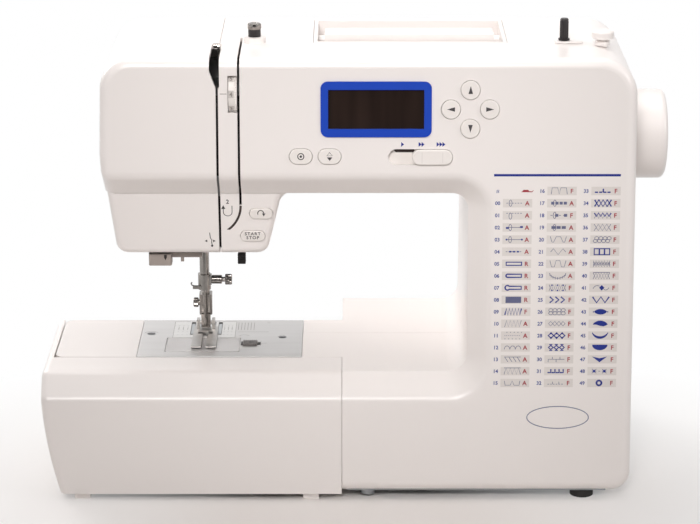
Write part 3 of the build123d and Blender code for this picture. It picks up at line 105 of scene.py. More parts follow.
def finish(name, colours, roughness, drift_mm, grain_mm, depth_mm, stretch=(1, 1, 1), **sockets):
    """A surface whose colour and roughness drift between two values over a real size.

    A finer grain of its own size is raised by a real depth. Stretch draws both patterns out.
    """
    material = surface(name, colours[0], roughness[0], **sockets)
    tree = material.node_tree
    shader = tree.nodes["Principled BSDF"]
    place = add_node(tree, "ShaderNodeTexCoord")
    spread = add_node(tree, "ShaderNodeMapping", [("Vector", place.outputs["Object"])], scale=stretch)
    drift = add_node(
        tree, "ShaderNodeTexNoise", [("Vector", spread.outputs[0])], scale=1 / (drift_mm * mm), detail=2.0
    )
    tint = add_node(
        tree, "ShaderNodeMixRGB", [("Fac", drift.outputs["Fac"])],
        color1=linear(colours[0]), color2=linear(colours[1]),
    )
    gloss = add_node(
        tree, "ShaderNodeMapRange", [("Value", drift.outputs["Fac"])],
        from_min=0.0, from_max=1.0, to_min=roughness[0], to_max=roughness[1],
    )
    grain = add_node(
        tree, "ShaderNodeTexNoise", [("Vector", spread.outputs[0])], scale=1 / (grain_mm * mm), detail=2.0
    )
    bump = add_node(
        tree, "ShaderNodeBump", [("Height", grain.outputs["Fac"])], strength=1.0, distance=depth_mm * mm
    )
    tree.links.new(tint.outputs[0], shader.inputs["Base Color"])
    tree.links.new(gloss.outputs[0], shader.inputs["Roughness"])
    tree.links.new(bump.outputs["Normal"], shader.inputs["Normal"])
    return material


# Injection-moulded ABS from a polished tool: smooth warm white, soft gloss, the faintest flow marks
white_abs = finish("moulded white ABS", ("#F3EEEB", "#F1ECE9"), (0.28, 0.31), 120, 3.0, 0.002, IOR=1.54)
# The same ABS from a spark-eroded tool: duller, with a fine grain, for keys and grips
satin_abs = finish("satin white ABS", ("#F0EBE7", "#EAE5E0"), (0.38, 0.48), 25, 0.35, 0.012, IOR=1.54)
# Moulded polycarbonate dyed right through: a deep, even blue with a soft gloss
blue_plastic = finish(
    "moulded blue polycarbonate", ("#1A48BE", "#1743B4"), (0.3, 0.4), 30, 0.5, 0.008, IOR=1.58,
    Specular_IOR_Level=0.3,
)
# Smoked acrylic over the display: nearly black, polished, with the cells just showing
dark_window = finish(
    "smoked acrylic window", ("#120E0D", "#3B2E29"), (0.06, 0.1), 14, 3.0, 0.0005, (1, 1, 0.05), IOR=1.49,
    Specular_IOR_Level=0.25,
)
# Glass-fibre board under green solder mask: a glossy, slightly mottled green
circuit_board = finish("solder-masked circuit board", ("#2C6B3C", "#245C33"), (0.3, 0.45), 8, 0.8, 0.02)
# Moulded rubber with talc bloom: dull, greyish black
black_rubber = finish("moulded black rubber", ("#1D1B1A", "#292625"), (0.7, 0.85), 6, 0.6, 0.02)
# Acetal from a fine-eroded tool: black with a low sheen
black_plastic = finish("black acetal", ("#1B1617", "#241F20"), (0.36, 0.48), 8, 0.4, 0.01, IOR=1.48)
# Acetal, warm grey, low sheen
grey_plastic = finish("warm grey acetal", ("#A99F98", "#9E948D"), (0.4, 0.5), 8, 0.4, 0.01, IOR=1.48)
# Die-cast aluminium as it leaves the die: pale grey with a coarse sandy skin and dull patches
cast_aluminium = finish(
    "die-cast aluminium", ("#BBBDBF", "#A7A9AB"), (0.4, 0.6), 14, 1.2, 0.06, Metallic=1.0
)
# Ground steel: fine lines one way, satin
steel = finish(
    "satin ground steel", ("#B4B6B7", "#A7A9AB"), (0.29, 0.38), 6, 0.3, 0.004, (1, 1, 6), Metallic=1.0
)
# Nickel plate over polished steel: a warm grey mirror
chrome = finish("polished nickel plate", ("#96918D", "#84807B"), (0.12, 0.2), 5, 1.0, 0.001, Metallic=1.0)
# Sheet steel, brushed along its length and nickel plated: soft grey streaks, no mirror
plate_steel = finish(
    "brushed nickel-plated sheet", ("#CCCAC9", "#BFBDBC"), (0.36, 0.48), 9, 0.5, 0.004, (0.1, 1, 1),
    Metallic=1.0,
)
# Tumbled and nickel-plated pressing: paler, with a soft gleam
foot_steel = finish("tumbled nickel plate", ("#BDBAB7", "#ADAAA7"), (0.3, 0.4), 4, 0.6, 0.004, Metallic=1.0)
# Zinc plate on pressed steel: bluish grey, spangled, dull
zinc_plate = finish(
    "zinc-plated sheet steel", ("#A9ADB0", "#969A9E"), (0.36, 0.5), 5, 0.8, 0.01, Metallic=1.0
)
# Sintered bronze, oil filled: brown gold, grainy
bronze = finish("sintered bronze", ("#B0803F", "#98692F"), (0.4, 0.55), 3, 0.3, 0.02, Metallic=1.0)
# Neoprene belt with a cloth face: dull black
belt_rubber = finish("black neoprene belt", ("#1A1A1A", "#242424"), (0.65, 0.8), 4, 0.5, 0.03)
# Enamelled motor shell: black, half gloss
motor_black = finish("black enamelled steel", ("#26262A", "#202024"), (0.35, 0.5), 10, 1.5, 0.01)
# Clear polycarbonate, scuffed by cloth: lets the bobbin show, a little milky
clear_plastic = finish(
    "clear polycarbonate", ("#F4F2F1", "#EDEBEA"), (0.06, 0.12), 8, 1.5, 0.001, IOR=1.58,
    Transmission_Weight=0.35,
)
# Frosted polycarbonate over the lamp: milky, lets light through
lamp_lens = finish(
    "frosted lamp lens", ("#F6F3E6", "#EFEBDD"), (0.4, 0.5), 6, 0.4, 0.01, IOR=1.5, Transmission_Weight=0.5
)

slot_materials = {
    "white_abs": white_abs, "blue_plastic": blue_plastic, "dark_window": dark_window,
    "circuit_board": circuit_board, "black_rubber": black_rubber, "black_plastic": black_plastic,
    "grey_plastic": grey_plastic, "cast_aluminium": cast_aluminium, "steel": steel, "chrome": chrome,
    "zinc_plate": zinc_plate, "bronze": bronze, "belt_rubber": belt_rubber, "motor_black": motor_black,
    "clear_plastic": clear_plastic, "lamp_lens": lamp_lens,
}
node_slots = {part["node"]: part["material_slot"] for part in frame["record"]["subparts"]}
# Nodes whose finish differs from the rest of their slot
own_finishes = {"needle_plate": plate_steel, "cover_release": black_plastic, "presser_foot": foot_steel}
for name, node in nodes.items():
    if name.endswith("_button") or name in ("speed_slider", "tension_dial"):
        own_finishes[name] = satin_abs
    node.data.materials.clear()
    node.data.materials.append(own_finishes.get(name, slot_materials[node_slots[name]]))


# Making and placing pieces


def piece(name, shape, body, material, replaces=(), sharp=35):
    """An object from a bmesh, with smooth shading up to a sharp angle, riding on a body."""
    mesh = bpy.data.meshes.new(name)
    shape.to_mesh(mesh)
    shape.free()
    mesh.shade_smooth()
    mesh.set_sharp_from_angle(angle=math.radians(sharp))
    mesh.materials.append(material)
    made = bpy.data.objects.new(name, mesh)
    bpy.context.collection.objects.link(made)
    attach(made, body)
    if replaces:
        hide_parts(*replaces)
    return made


def sloped_place(foot_y, slope, rise=0.0):
    """Takes across, up and out on a leaning front, in millimetres, to the frame; up is the true height."""
    out = Vector((0, -1, slope)).normalized()
    lean = Matrix(((1, 0, out.x, 0), (0, slope, out.y, foot_y), (0, 1, out.z, 0), (0, 0, 0, 1)))
    return Matrix.Diagonal((mm, mm, mm, 1)) @ lean @ Matrix.Translation((0, 0, rise))


def rim_place(centre, radius, turn):
    """The same on the rim of a wheel that turns about X, a turn in degrees up from its front."""
    upright = Matrix.Rotation(math.radians(90 - turn), 4, "X")
    rim = Matrix.Translation(centre) @ upright @ Matrix.Translation((0, 0, radius))
    return Matrix.Diagonal((mm, mm, mm, 1)) @ rim


def middle(name):
    """The middle of a node at rest, in millimetres."""
    low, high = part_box(name)
    return [(a + b) / 2 / mm for a, b in zip(low, high)]


def extent(name):
    """The size of a node at rest along X, Y and Z, in millimetres."""
    low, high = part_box(name)
    return [(b - a) / mm for a, b in zip(low, high)]


panel = sloped_place(panel_foot, panel_slope)
panel_keys = sloped_place(panel_foot, panel_slope, key_rise)
lower_head = sloped_place(head_foot, head_slope)
head_keys = sloped_place(head_foot, head_slope, key_rise)
bed = Matrix.Diagonal((mm, mm, mm, 1)) @ Matrix.Translation((0, 0, bed_top))


# Printed marks, and painted shade drawn the same way


def flat_mesh(curve):
    """The mesh of a flat curve or a word."""
    holder = bpy.data.objects.new("flat", curve)
    bpy.context.collection.objects.link(holder)
    graph = bpy.context.evaluated_depsgraph_get()
    mesh = bpy.data.meshes.new_from_object(holder.evaluated_get(graph))
    bpy.data.objects.remove(holder)
    return mesh


def stroke_curve(strokes):
    """Strokes along lists of points, each list with its own width."""
    curve = bpy.data.curves.new("strokes", "CURVE")
    curve.dimensions = "3D"
    curve.bevel_depth = 0.5
    curve.bevel_resolution = 1
    curve.use_fill_caps = True
    for points, width in strokes:
        closed = points[0] == points[-1]
        run = points[:-1] if closed else points
        spline = curve.splines.new("POLY")
        spline.points.add(len(run) - 1)
        spline.use_cyclic_u = closed
        for knot, (x, z) in zip(spline.points, run):
            knot.co = (x, z, 0, 1)
            knot.radius = width
    return curve


def patch_curve(outlines):
    """Filled patches inside closed outlines."""
    curve = bpy.data.curves.new("patches", "CURVE")
    curve.dimensions = "2D"
    curve.fill_mode = "BOTH"
    curve.extrude = 0.5
    for points in outlines:
        spline = curve.splines.new("POLY")
        spline.points.add(len(points) - 1)
        spline.use_cyclic_u = True
        for knot, (x, z) in zip(spline.points, points):
            knot.co = (x, z, 0, 1)
    return curve


def word_curve(text, x, z, tall, pitch=4.0, swell=0.0, spread=1.0):
    """Plain lettering of a capital height, centred on x and on z, its lines a pitch apart.

    Swell emboldens it, and spread sets its letters further apart.
    """
    curve = bpy.data.curves.new("word", "FONT")
    curve.body = text
    curve.size = tall / capital_share
    curve.extrude = 0.5
    curve.offset = swell
    curve.space_character = spread
    curve.align_x = "CENTER"
    curve.align_y = "TOP_BASELINE"
    curve.space_line = pitch / curve.size
    curve.resolution_u = 3
    curve.offset_x = x
    curve.offset_y = z - tall / 2
    return curve


def printed(name, body, place, material, strokes=(), patches=(), words=(), film=0.05):
    """A film of ink or painted shade on a surface: strokes, filled patches and words in one piece."""
    shape = bmesh.new()
    curves = [word_curve(*word) for word in words]
    if strokes:
        curves.append(stroke_curve(strokes))
    if patches:
        curves.append(patch_curve(patches))
    for curve in curves:
        shape.from_mesh(flat_mesh(curve))
    for vert in shape.verts:
        vert.co.z = max(-film, min(film, vert.co.z))
    bmesh.ops.transform(shape, matrix=place, verts=shape.verts)
    return piece(name, shape, body, material)


def arc(x, z, across, up, start, end, steps=10):
    """Points on a stretch of an ellipse, between two angles in degrees."""
    angles = [math.radians(start + (end - start) * i / steps) for i in range(steps + 1)]
    return [(x + across * math.cos(a), z + up * math.sin(a)) for a in angles]


def ring(x, z, across, up, steps=16):
    """A closed ellipse."""
    return arc(x, z, across, up, 0, 360 - 360 / steps, steps - 1) + [(x + across, z)]


def moved(points, x, z):
    """The points, shifted."""
    return [(px + x, pz + z) for px, pz in points]


def ink(name, colour, thin_colour):
    """Pad-print ink, also used for painted shade: matt, with slightly thinner patches."""
    return finish(name, (colour, thin_colour), (0.45, 0.6), 3, 0.3, 0.002)


# Height of a capital in Blender's own typeface, as a share of the text size
capital_share = 0.72
# Pad-print inks: matt, thin and a little uneven; the dark grey, black and pale grey inks also serve as
# painted shade in screw slots, screw recesses and on the slider knob's edges
blue_ink = ink("blue pad-print ink", "#0B2382", "#142C8B")
pale_ink = ink("grey-blue pad-print ink", "#5A5E80", "#64688A")
number_ink = ink("soft blue pad-print ink", "#33428A", "#3D4C94")
red_ink = ink("red pad-print ink", "#9A2030", "#A32A39")
box_ink_and_edge_shade = ink("pale grey pad-print ink", "#DED8D4", "#E1DCD8")
dark_ink_and_slot_shade = ink("dark grey pad-print ink", "#3E3A3C", "#484446")
grey_ink = ink("mid grey pad-print ink", "#8B8580", "#958F8A")
dial_ink = ink("light grey pad-print ink", "#C9C3BF", "#CFCAC6")
badge_ink = ink("slate pad-print ink", "#666C88", "#707692")
black_ink_and_recess_shade = ink("black pad-print ink", "#1A1617", "#241F20")
white_ink = finish("white pad-print ink", ("#F0EEEC", "#E6E4E2"), (0.5, 0.6), 3, 0.3, 0.003)
# Painted shade for the hollows of slots: black-brown and dull, lighter where some light gets in
painted_slot_shade = finish("painted slot shade", ("#171314", "#4A3833"), (0.6, 0.7), 9, 0.4, 0.01)
# Painted shade on the ridges moulded in the clear cover: greyer than it, because they turn from the light
cover_ridge_shade = ink("painted ridge shade on clear cover", "#A9A5A3", "#B4B0AE")
# Lines etched in the plated sheet: dull grey
guide_ink = ink("grey etched line", "#77726F", "#817C79")
# The plate's insert, plated after polishing: brighter than the sheet round it
insert_steel = finish(
    "bright nickel-plated insert", ("#D8D6D4", "#CBC9C7"), (0.3, 0.42), 4, 0.5, 0.004, (0.2, 1, 1),
    Metallic=1.0,
)

# Stitch chart on the column: three columns of number, picture and foot letter
chart_top = 200.2
chart_pitch = 7.69
chart_columns = (88.7, 116.2, 143.5)
chart_rows = 17
number_tall = 2.3
letter_tall = 2.8
icon_shift = 10.6
letter_shift = 18.4
box_shift = 12.3
box_half = 9.1
box_tall = 2.7
icon_half = 5.2
icon_tall = 2.1
thin = 0.46
bold = 1.1
# Satin stitches: where their patches lie in the picture, and half their width and height
satin_patches = {
    8: ((0,), 4.9, 2.0), 17: ((-3.9, -1.3, 1.3, 3.9), 1.0, 0.9), 18: ((-1.3, 4.2), 1.0, 0.9),
    19: ((-3.2, 0, 3.2), 1.3, 0.9),
}
# The foot that each stitch takes, down the three columns
chart_feet = ("AAAAARRRRFAAAAAA", "FAFAAAAA" + "F" * 9, "F" * chart_rows)


def zigzag(count, low=-icon_tall, high=icon_tall):
    """A zigzag across the picture, with that many strokes."""
    return [(-icon_half + 2 * icon_half * i / count, high if i % 2 else low) for i in range(count + 1)]


def dashes(z, count, share=0.6):
    """A dashed line across the picture."""
    step = 2 * icon_half / count
    return [[(-icon_half + i * step, z), (-icon_half + (i + share) * step, z)] for i in range(count)]


def diamond(x, z, across, up):
    """A closed diamond."""
    return [(x - across, z), (x, z + up), (x + across, z), (x, z - up), (x - across, z)]


def box(x, z, across, up):
    """A closed rectangle."""
    left, right, foot, top = x - across, x + across, z - up, z + up
    return [(left, foot), (right, foot), (right, top), (left, top), (left, foot)]


def stitch_pictures():
    """Pale strokes, blue strokes and blue patches of each stitch on the chart, by its number."""
    level = [(-icon_half, 0), (icon_half, 0)]
    top_line = [(-icon_half, icon_tall), (icon_half, icon_tall)]
    needle_mark = ring(-2.6, 0, 0.9, 2.0)
    thirds = (-3.5, 0, 3.5)
    quarters = (-3.9, -1.3, 1.3, 3.9)
    eye_neck = [arc(-3.8, 0, 1.5, 1.5, a, a, 1)[0] for a in (40, 320)]
    crossing = [zigzag(4), zigzag(4, icon_tall, -icon_tall)]
    scallops = arc(0, 2.0, 5.2, 3.6, 185, 355)
    leaf_top = arc(0, -3.0, 5.4, 4.8, 28, 152)
    star = [[(x - 1.4, z), (x + 1.4, -z)] for x in (-3.2, 3.2) for z in (-1.4, 0, 1.4)]
    return {
        0: (dashes(0, 6) + [needle_mark], [], []),
        1: (dashes(1.3, 6) + [moved(needle_mark, 0, -0.5)], [], []),
        2: ([level, needle_mark], [], [box(-4.4, -0.3, 0.9, 0.6), box(4.4, 0.3, 0.9, 0.6)]),
        3: ([level, needle_mark], [], [ring(-4.8, 0, 0.6, 0.6), ring(4.8, 0, 0.6, 0.6)]),
        4: (dashes(0, 6), [], [box(x, 0, 0.7, 0.5) for x in (-2.4, 0, 2.4)]),
        5: ([], [box(0, 0, 4.8, 1.0)], []),
        6: ([], [arc(-3.8, 0, 1.0, 1.0, 90, 270) + [(4.8, -1.0), (4.8, 1.0), (-3.8, 1.0)]], []),
        7: ([], [arc(-3.8, 0, 1.5, 1.5, 40, 320) + [(4.8, -0.96), (4.8, 0.96), eye_neck[0]]], []),
        8: ([[(-4.9, z), (4.9, z)] for z in (-1.9, -1.3, -0.7, -0.1, 0.5, 1.1, 1.7)], [], []),
        9: ([], [zigzag(11)], []),
        10: ([zigzag(9)], [], []),
        11: ([[p, (p[0] + 0.6, p[1])] for p in zigzag(9)] + dashes(0, 9, 0.4), [], []),
        12: ([arc(x, -1.2, 1.7, 2.2, 0, 180) for x in thirds], [], []),
        13: ([[(x - 1.0, 1.5), (x + 1.0, -1.6)] for x in quarters] + [moved(level, 0, 1.5)], [], []),
        14: ([zigzag(8), top_line], [], []),
        15: ([[(-4.9, 1.4), (-4.4, -1.5), (-1.2, -1.5), (0, 1.4), (1.2, -1.5), (4.4, -1.5), (4.9, 1.4)]],
             [], []),
        16: ([[(-5, -2), (-4.4, 2), (-1.0, 2), (0, -2), (1.0, 2), (4.4, 2), (5, -2)]], [], []),
        17: ([needle_mark], [], []),
        18: ([needle_mark] + dashes(0, 4, 0.5), [], []),
        19: ([needle_mark], [], []),
        20: ([[(-5, 2), (-4, -1.6), (-2.9, -1.6), (-1.4, 1.8), (1.4, 1.8), (2.9, -1.6), (4, -1.6), (5, 2)]],
             [], []),
        21: ([[(-4.7, -0.2), (-3.0, 1.9), (0, -1.9), (3.0, 1.9), (4.7, -0.2)]], [], []),
        22: ([[(-5, 2), (-4, -2), (-2.2, -2), (-1.2, 2), (1.2, 2), (2.2, -2), (4, -2), (5, 2)]], [], []),
        23: ([scallops] + [[(x, z - 0.8), (x, z + 0.8)] for x, z in scallops[1:-1]], [], []),
        24: ([zigzag(8, -1.9, 1.9), zigzag(8, 1.9, -1.9)], [],
             [box(x, z, 0.5, 0.4) for x in thirds for z in (-1.7, 1.7)]),
        25: ([], [[(x - 1.2, 1.9), (x + 1.0, 0), (x - 1.2, -1.9)] for x in thirds], []),
        26: ([ring(x, z, 1.3, 1.0) for x in quarters for z in (-1.0, 1.0)], [], []),
        27: ([diamond(x, 0, 1.3, 1.5) for x in quarters], [], []),
        28: ([], [diamond(x, 0, 1.7, 1.7) for x in thirds], [diamond(x, z, 0.8, 0.8) for x in thirds
                                                             for z in (-1.5, 1.5)]),
        29: ([], [diamond(x, 0, 1.5, 1.3) for x in thirds], [box(x, z, 1.0, 0.3) for x in thirds
                                                             for z in (-1.9, 1.9)]),
        30: ([[(-5, -1.8), (-5, 0), (icon_half, 0)], [(-2.4, 0), (-2.4, 1.6)], [(0, 0), (0, -1.8)],
              [(2.4, 0), (2.4, 1.6)]], [], []),
        31: ([], [[(x - 1.4, -0.9), (x + 0.7, -0.9), (x + 0.7, 1.3)] for x in quarters], []),
        32: (dashes(-0.8, 6) + [[(x, -0.8), (x, 0.8)] for x in (-2, 2)], [], []),
        33: ([], dashes(-0.8, 4, 0.75) + [[(0, -0.8), (0, 1.4)]], []),
        34: ([], crossing, [box(x, z, 0.6, 0.4) for x in (-2.6, 2.6) for z in (-1.8, 1.8)]),
        35: ([zigzag(8, -1.9, 0.7)], [zigzag(8, 1.5, -0.7)], []),
        36: (crossing, [], []),
        37: ([ring(x + z * 0.5, z, 1.25, 1.0) for x in quarters for z in (-0.9, 0.9)], [], []),
        38: ([], [box(0, 0, 4.8, 1.9), [(-1.6, -1.9), (-1.6, 1.9)], [(1.6, -1.9), (1.6, 1.9)]], []),
        39: ([zigzag(12, low, high) for low, high in ((-1.9, 0.2), (1.9, -0.2), (-0.9, 1.0), (0.9, -1.0))],
             [], []),
        40: ([zigzag(6), zigzag(6, icon_tall, -icon_tall), top_line], [], []),
        41: ([arc(-2.4, -1.6, 2.8, 3.0, 60, 160), arc(2.8, 1.6, 2.4, 3.0, 240, 330)], [],
             [diamond(0.4, 0, 1.7, 1.8)]),
        42: ([], [zigzag(4, 1.9, -1.9)], []),
        43: ([], [], [leaf_top + [(x, -z) for x, z in reversed(leaf_top)]]),
        44: ([], [], [moved(leaf_top, 0, 0.2) + [(-2.6, -0.6), (0, -1.4), (2.2, -1.7), (3.8, -1.0)]]),
        45: ([], [], [arc(0, 4.1, 5.6, 6.2, 205, 335) + arc(0, 5.7, 6.0, 6.2, 326, 214)]),
        46: ([], [], [arc(0, 1.8, 4.9, 3.6, 180, 360)]),
        47: ([], [], [[(-4.8, 1.8), (0, 0.7), (4.8, 1.8), (0, -1.9)]]),
        48: (star + [[(-0.6, 0), (0.6, 0)]], [], [ring(x, 0, 0.9, 0.9) for x in (-3.2, 3.2)]),
        49: ([], [ring(0, 0, 1.4, 1.4), ring(0, 0, 1.7, 1.7)], []),
    }


def stitch_chart():
    """The chart's boxes, numbers, letters and pictures, and the small foot mark over its first column."""
    pale, blue, filled, boxes = [], [], [], []
    soft = []
    for stitch, (pale_lines, blue_lines, patches) in stitch_pictures().items():
        column, row = divmod(stitch + 1, chart_rows)
        x, z = chart_columns[column], chart_top - chart_pitch * row
        boxes.append(box(x + box_shift, z, box_half, box_tall))
        pale += [(moved(line, x + icon_shift, z), thin) for line in pale_lines]
        blue += [(moved(line, x + icon_shift, z), bold) for line in blue_lines]
        filled += [moved(patch, x + icon_shift, z) for patch in patches]
        runs, across, up = satin_patches.get(stitch, ((), 0, 0))
        soft += [box(x + icon_shift + run, z, across, up) for run in runs]
    numbers, letters = [], []
    first = 0
    for x, column_feet in zip(chart_columns, chart_feet):
        start = chart_rows - len(column_feet)
        z = chart_top - chart_pitch * start
        counted = [f"{first + i:02d}" for i in range(len(column_feet))]
        numbers.append(("\n".join(counted), x, z, number_tall, chart_pitch, 0.08))
        letters.append(("\n".join(column_feet), x + letter_shift, z, letter_tall, chart_pitch, 0.1))
        first += len(column_feet)
    numbers.append(("#", chart_columns[0], chart_top, number_tall))
    foot_mark = [(-4.0, -0.7), (-3.2, -0.2), (-2.5, 0.7), (0.4, 0.7), (1.0, -0.1), (2.6, -0.3),
                 (3.6, 0.5), (3.8, 0.3), (2.8, -0.8)]
    foot_mark = moved(foot_mark, chart_columns[0] + letter_shift, chart_top)
    printed("chart_boxes", "machine", panel, box_ink_and_edge_shade, patches=boxes, film=0.02)
    printed("chart_satin", "machine", panel, pale_ink, patches=soft, film=0.04)
    printed("chart_lines", "machine", panel, pale_ink, strokes=pale)
    printed("chart_pictures", "machine", panel, blue_ink, strokes=blue, patches=filled, film=0.06)
    printed("chart_numbers", "machine", panel, number_ink, words=numbers)
    printed("chart_letters", "machine", panel, red_ink, words=letters, patches=[foot_mark])


# The blue line over the chart, and the index beside the dial: two ends each
panel_line = [(86.2, 210.1), (164.8, 210.1)]
dial_index = [(-83.1, 260.7), (-78.9, 260.7)]
# The speed marks over the slider: one, two and three small triangles
speed_mark_x = (29.5, 41.2, 53.2)
speed_mark_z = 229.4
speed_mark_half = 0.9
speed_mark_rise = 1.5
# The bare badge: its middle, and half its width and height
badge_x = 128.4
badge_z = 54.6
badge_across = 19.5
badge_up = 7.2


def panel_marks():
    """Marks on the front: the blue line, the speed marks, the dial's index and the bare badge's outline."""
    speed = []
    for count, x in enumerate(speed_mark_x, 1):
        left = x - speed_mark_half * (count - 1)
        for i in range(count):
            middle_x = left + 2 * speed_mark_half * i
            back, tip = middle_x - speed_mark_half, middle_x + speed_mark_half
            foot, top = speed_mark_z - speed_mark_rise, speed_mark_z + speed_mark_rise
            speed.append([(back, foot), (tip, speed_mark_z), (back, top)])
    badge = ring(badge_x, badge_z, badge_across, badge_up, 48)
    printed("panel_line", "machine", panel, blue_ink, strokes=[(panel_line, 1.5)])
    printed("speed_marks", "machine", panel, blue_ink, patches=speed)
    printed("dial_index", "machine", panel, grey_ink, strokes=[(dial_index, 0.4)])
    printed("badge_outline", "machine", panel, badge_ink, strokes=[(badge, 0.6)])


# The right thread slot's curved tail, drawn as a patch of painted shade: its centre and radius
tail_x = -92.65
tail_z = 186.0
tail_radius = 20.95


def head_marks():
    """Threading marks on the lower head, and the slot's tail as painted shade."""
    turn = [(-77.1, 186.0), (-77.1, 181.6)] + arc(-79.85, 181.6, 2.75, 2.6, 0, -180) + [(-82.6, 184.2)]
    arrow = [(-83.9, 183.8), (-81.3, 183.8), (-82.6, 186.4)]
    printed("threading_marks", "machine", lower_head, dark_ink_and_slot_shade, strokes=[(turn, 0.45)], patches=[arrow],
            words=[("2", -79.85, 188.9, 2.8, 4.0, 0.08)])
    tail = arc(tail_x, tail_z, tail_radius + 0.75, tail_radius + 0.75, 0, -50)
    tail += arc(tail_x, tail_z, tail_radius - 0.7, tail_radius - 0.7, -54, 0)
    printed("slot_tail_shade", "machine", lower_head, painted_slot_shade, patches=[tail], film=0.04)
    thread = [(-91.6, 167.4), (-91.2, 163.6), (-90.4, 162.4), (-90.5, 160.6), (-90.2, 159.2)]
    sides = [[(-94.8, 161.6), (-93.2, 162.5), (-93.2, 160.7)]]
    sides.append([(-88.0, 161.6), (-89.6, 162.5), (-89.6, 160.7)])
    printed("threader_mark", "machine", lower_head, dark_ink_and_slot_shade, strokes=[(thread, 0.5)],
            patches=[*sides, ring(-90.2, 158.3, 0.7, 0.9)])


# A key's face lies a little above the middle of the whole key, which leans with the panel
sign_lift = 0.5
# The speed slider's knob stands above the panel, and its apron lies behind it
slider_rise = 2.0
apron_rise = -3.28


def key_marks():
    """The printed sign of each key, riding on the key."""
    for body, turn in (("arrow_right", 0), ("arrow_up", 90), ("arrow_left", 180), ("arrow_down", 270)):
        x, _, z = middle(f"{body}_button")
        z += sign_lift
        side = Matrix.Rotation(math.radians(turn), 2)
        corners = [side @ Vector(corner) for corner in ((2.5, 0), (-2.4, 1.4), (-2.4, -1.4))]
        printed(f"{body}_sign", body, panel_keys, dark_ink_and_slot_shade, patches=[moved(corners, x, z)])
    x, _, z = middle("lock_stitch_button")
    z += sign_lift
    printed("lock_sign", "lock_key", panel_keys, dark_ink_and_slot_shade, strokes=[(ring(x, z, 1.9, 1.9), 0.6)],
            patches=[ring(x, z, 0.8, 0.8)])
    x, _, z = middle("needle_position_button")
    z += sign_lift
    upper = moved([(-1.7, 0.5), (0, 2.6), (1.7, 0.5), (-1.7, 0.5)], x, z)
    lower = moved([(-1.7, -0.5), (1.7, -0.5), (0, -2.6)], x, z)
    printed("needle_sign", "needle_key", panel_keys, dark_ink_and_slot_shade, strokes=[(upper, 0.4)], patches=[lower])
    x, _, z = middle("speed_slider")
    knob_face = sloped_place(panel_foot, panel_slope, slider_rise)
    # Pale grey lines at the edges of the knob's raised middle: painted shade
    edges = [[(x + side * 6.4, z - 3.0), (x + side * 6.4, z + 3.6)] for side in (-1, 1)]
    edge_shade_lines = [(edge, 0.4) for edge in edges]
    printed("slider_edge_shade", "slider", knob_face, box_ink_and_edge_shade, strokes=edge_shade_lines, film=0.03)
    # A dark strip on the apron beside the knob: painted shade in the groove's upper part
    apron = sloped_place(panel_foot, panel_slope, apron_rise)
    left, right, top = x - 25.0, x - 11.0, z + 5.2
    dark = [(left, top), (right, top), (right, top - 2.4), (left + 2.4, top - 2.4), (left + 1.6, top - 1.4)]
    printed("slider_shade", "slider", apron, painted_slot_shade, patches=[dark], film=0.03)
    x, _, z = middle("reverse_button")
    back_turn = arc(x - 0.2, z - 0.2, 1.9, 2.1, 200, 0)
    arrow = moved([(0.6, -0.2), (2.8, -0.2), (1.7, -2.3)], x, z)
    printed("reverse_sign", "reverse_key", head_keys, dark_ink_and_slot_shade, strokes=[(back_turn, 0.6)], patches=[arrow])
    x, _, z = middle("start_stop_button")
    start_word = ("START\nSTOP", x, z + 1.35, 2.1, 2.7, 0.06, 1.25)
    printed("start_sign", "start_key", head_keys, dark_ink_and_slot_shade, words=[start_word])


# The tension dial's numbers, with the middle one at the index beside the window
dial_numbers = range(9)
dial_step = 36.0
dial_index_turn = 5.5
dial_strip_shift = -0.9
dial_strip_drop = 0.1


def dial_marks():
    """Numbers round the tension dial."""
    centre = middle("tension_dial")
    radius = extent("tension_dial")[2] / 2
    for number in dial_numbers:
        turn = dial_index_turn + dial_step * (number - 4)
        rim = rim_place(centre, radius - dial_strip_drop, turn)
        ground = box(dial_strip_shift, 0, 1.7, 2.3)
        figure = (str(number), dial_strip_shift, 0, 2.7, 4.0, 0.1)
        printed(f"dial_box_{number}", "dial", rim, dial_ink, patches=[ground], film=0.02)
        printed(f"dial_number_{number}", "dial", rim, grey_ink, words=[figure])


# The feed slots: their places beside the needle, their middle, and half their width and length
feed_bars = (-9.0, -4.5, 4.5, 9.0)
feed_middle = 16.5
feed_across = 1.4
feed_along = 12.4
# Seam guides right of the insert, and the columns of small marks on it
guide_x = (-77.4, -75.3, -73.2, -71.1, -69.0, -66.9)
mark_x = (-117.0, -114.0, -111.0, -86.5, -84.0, -81.5)


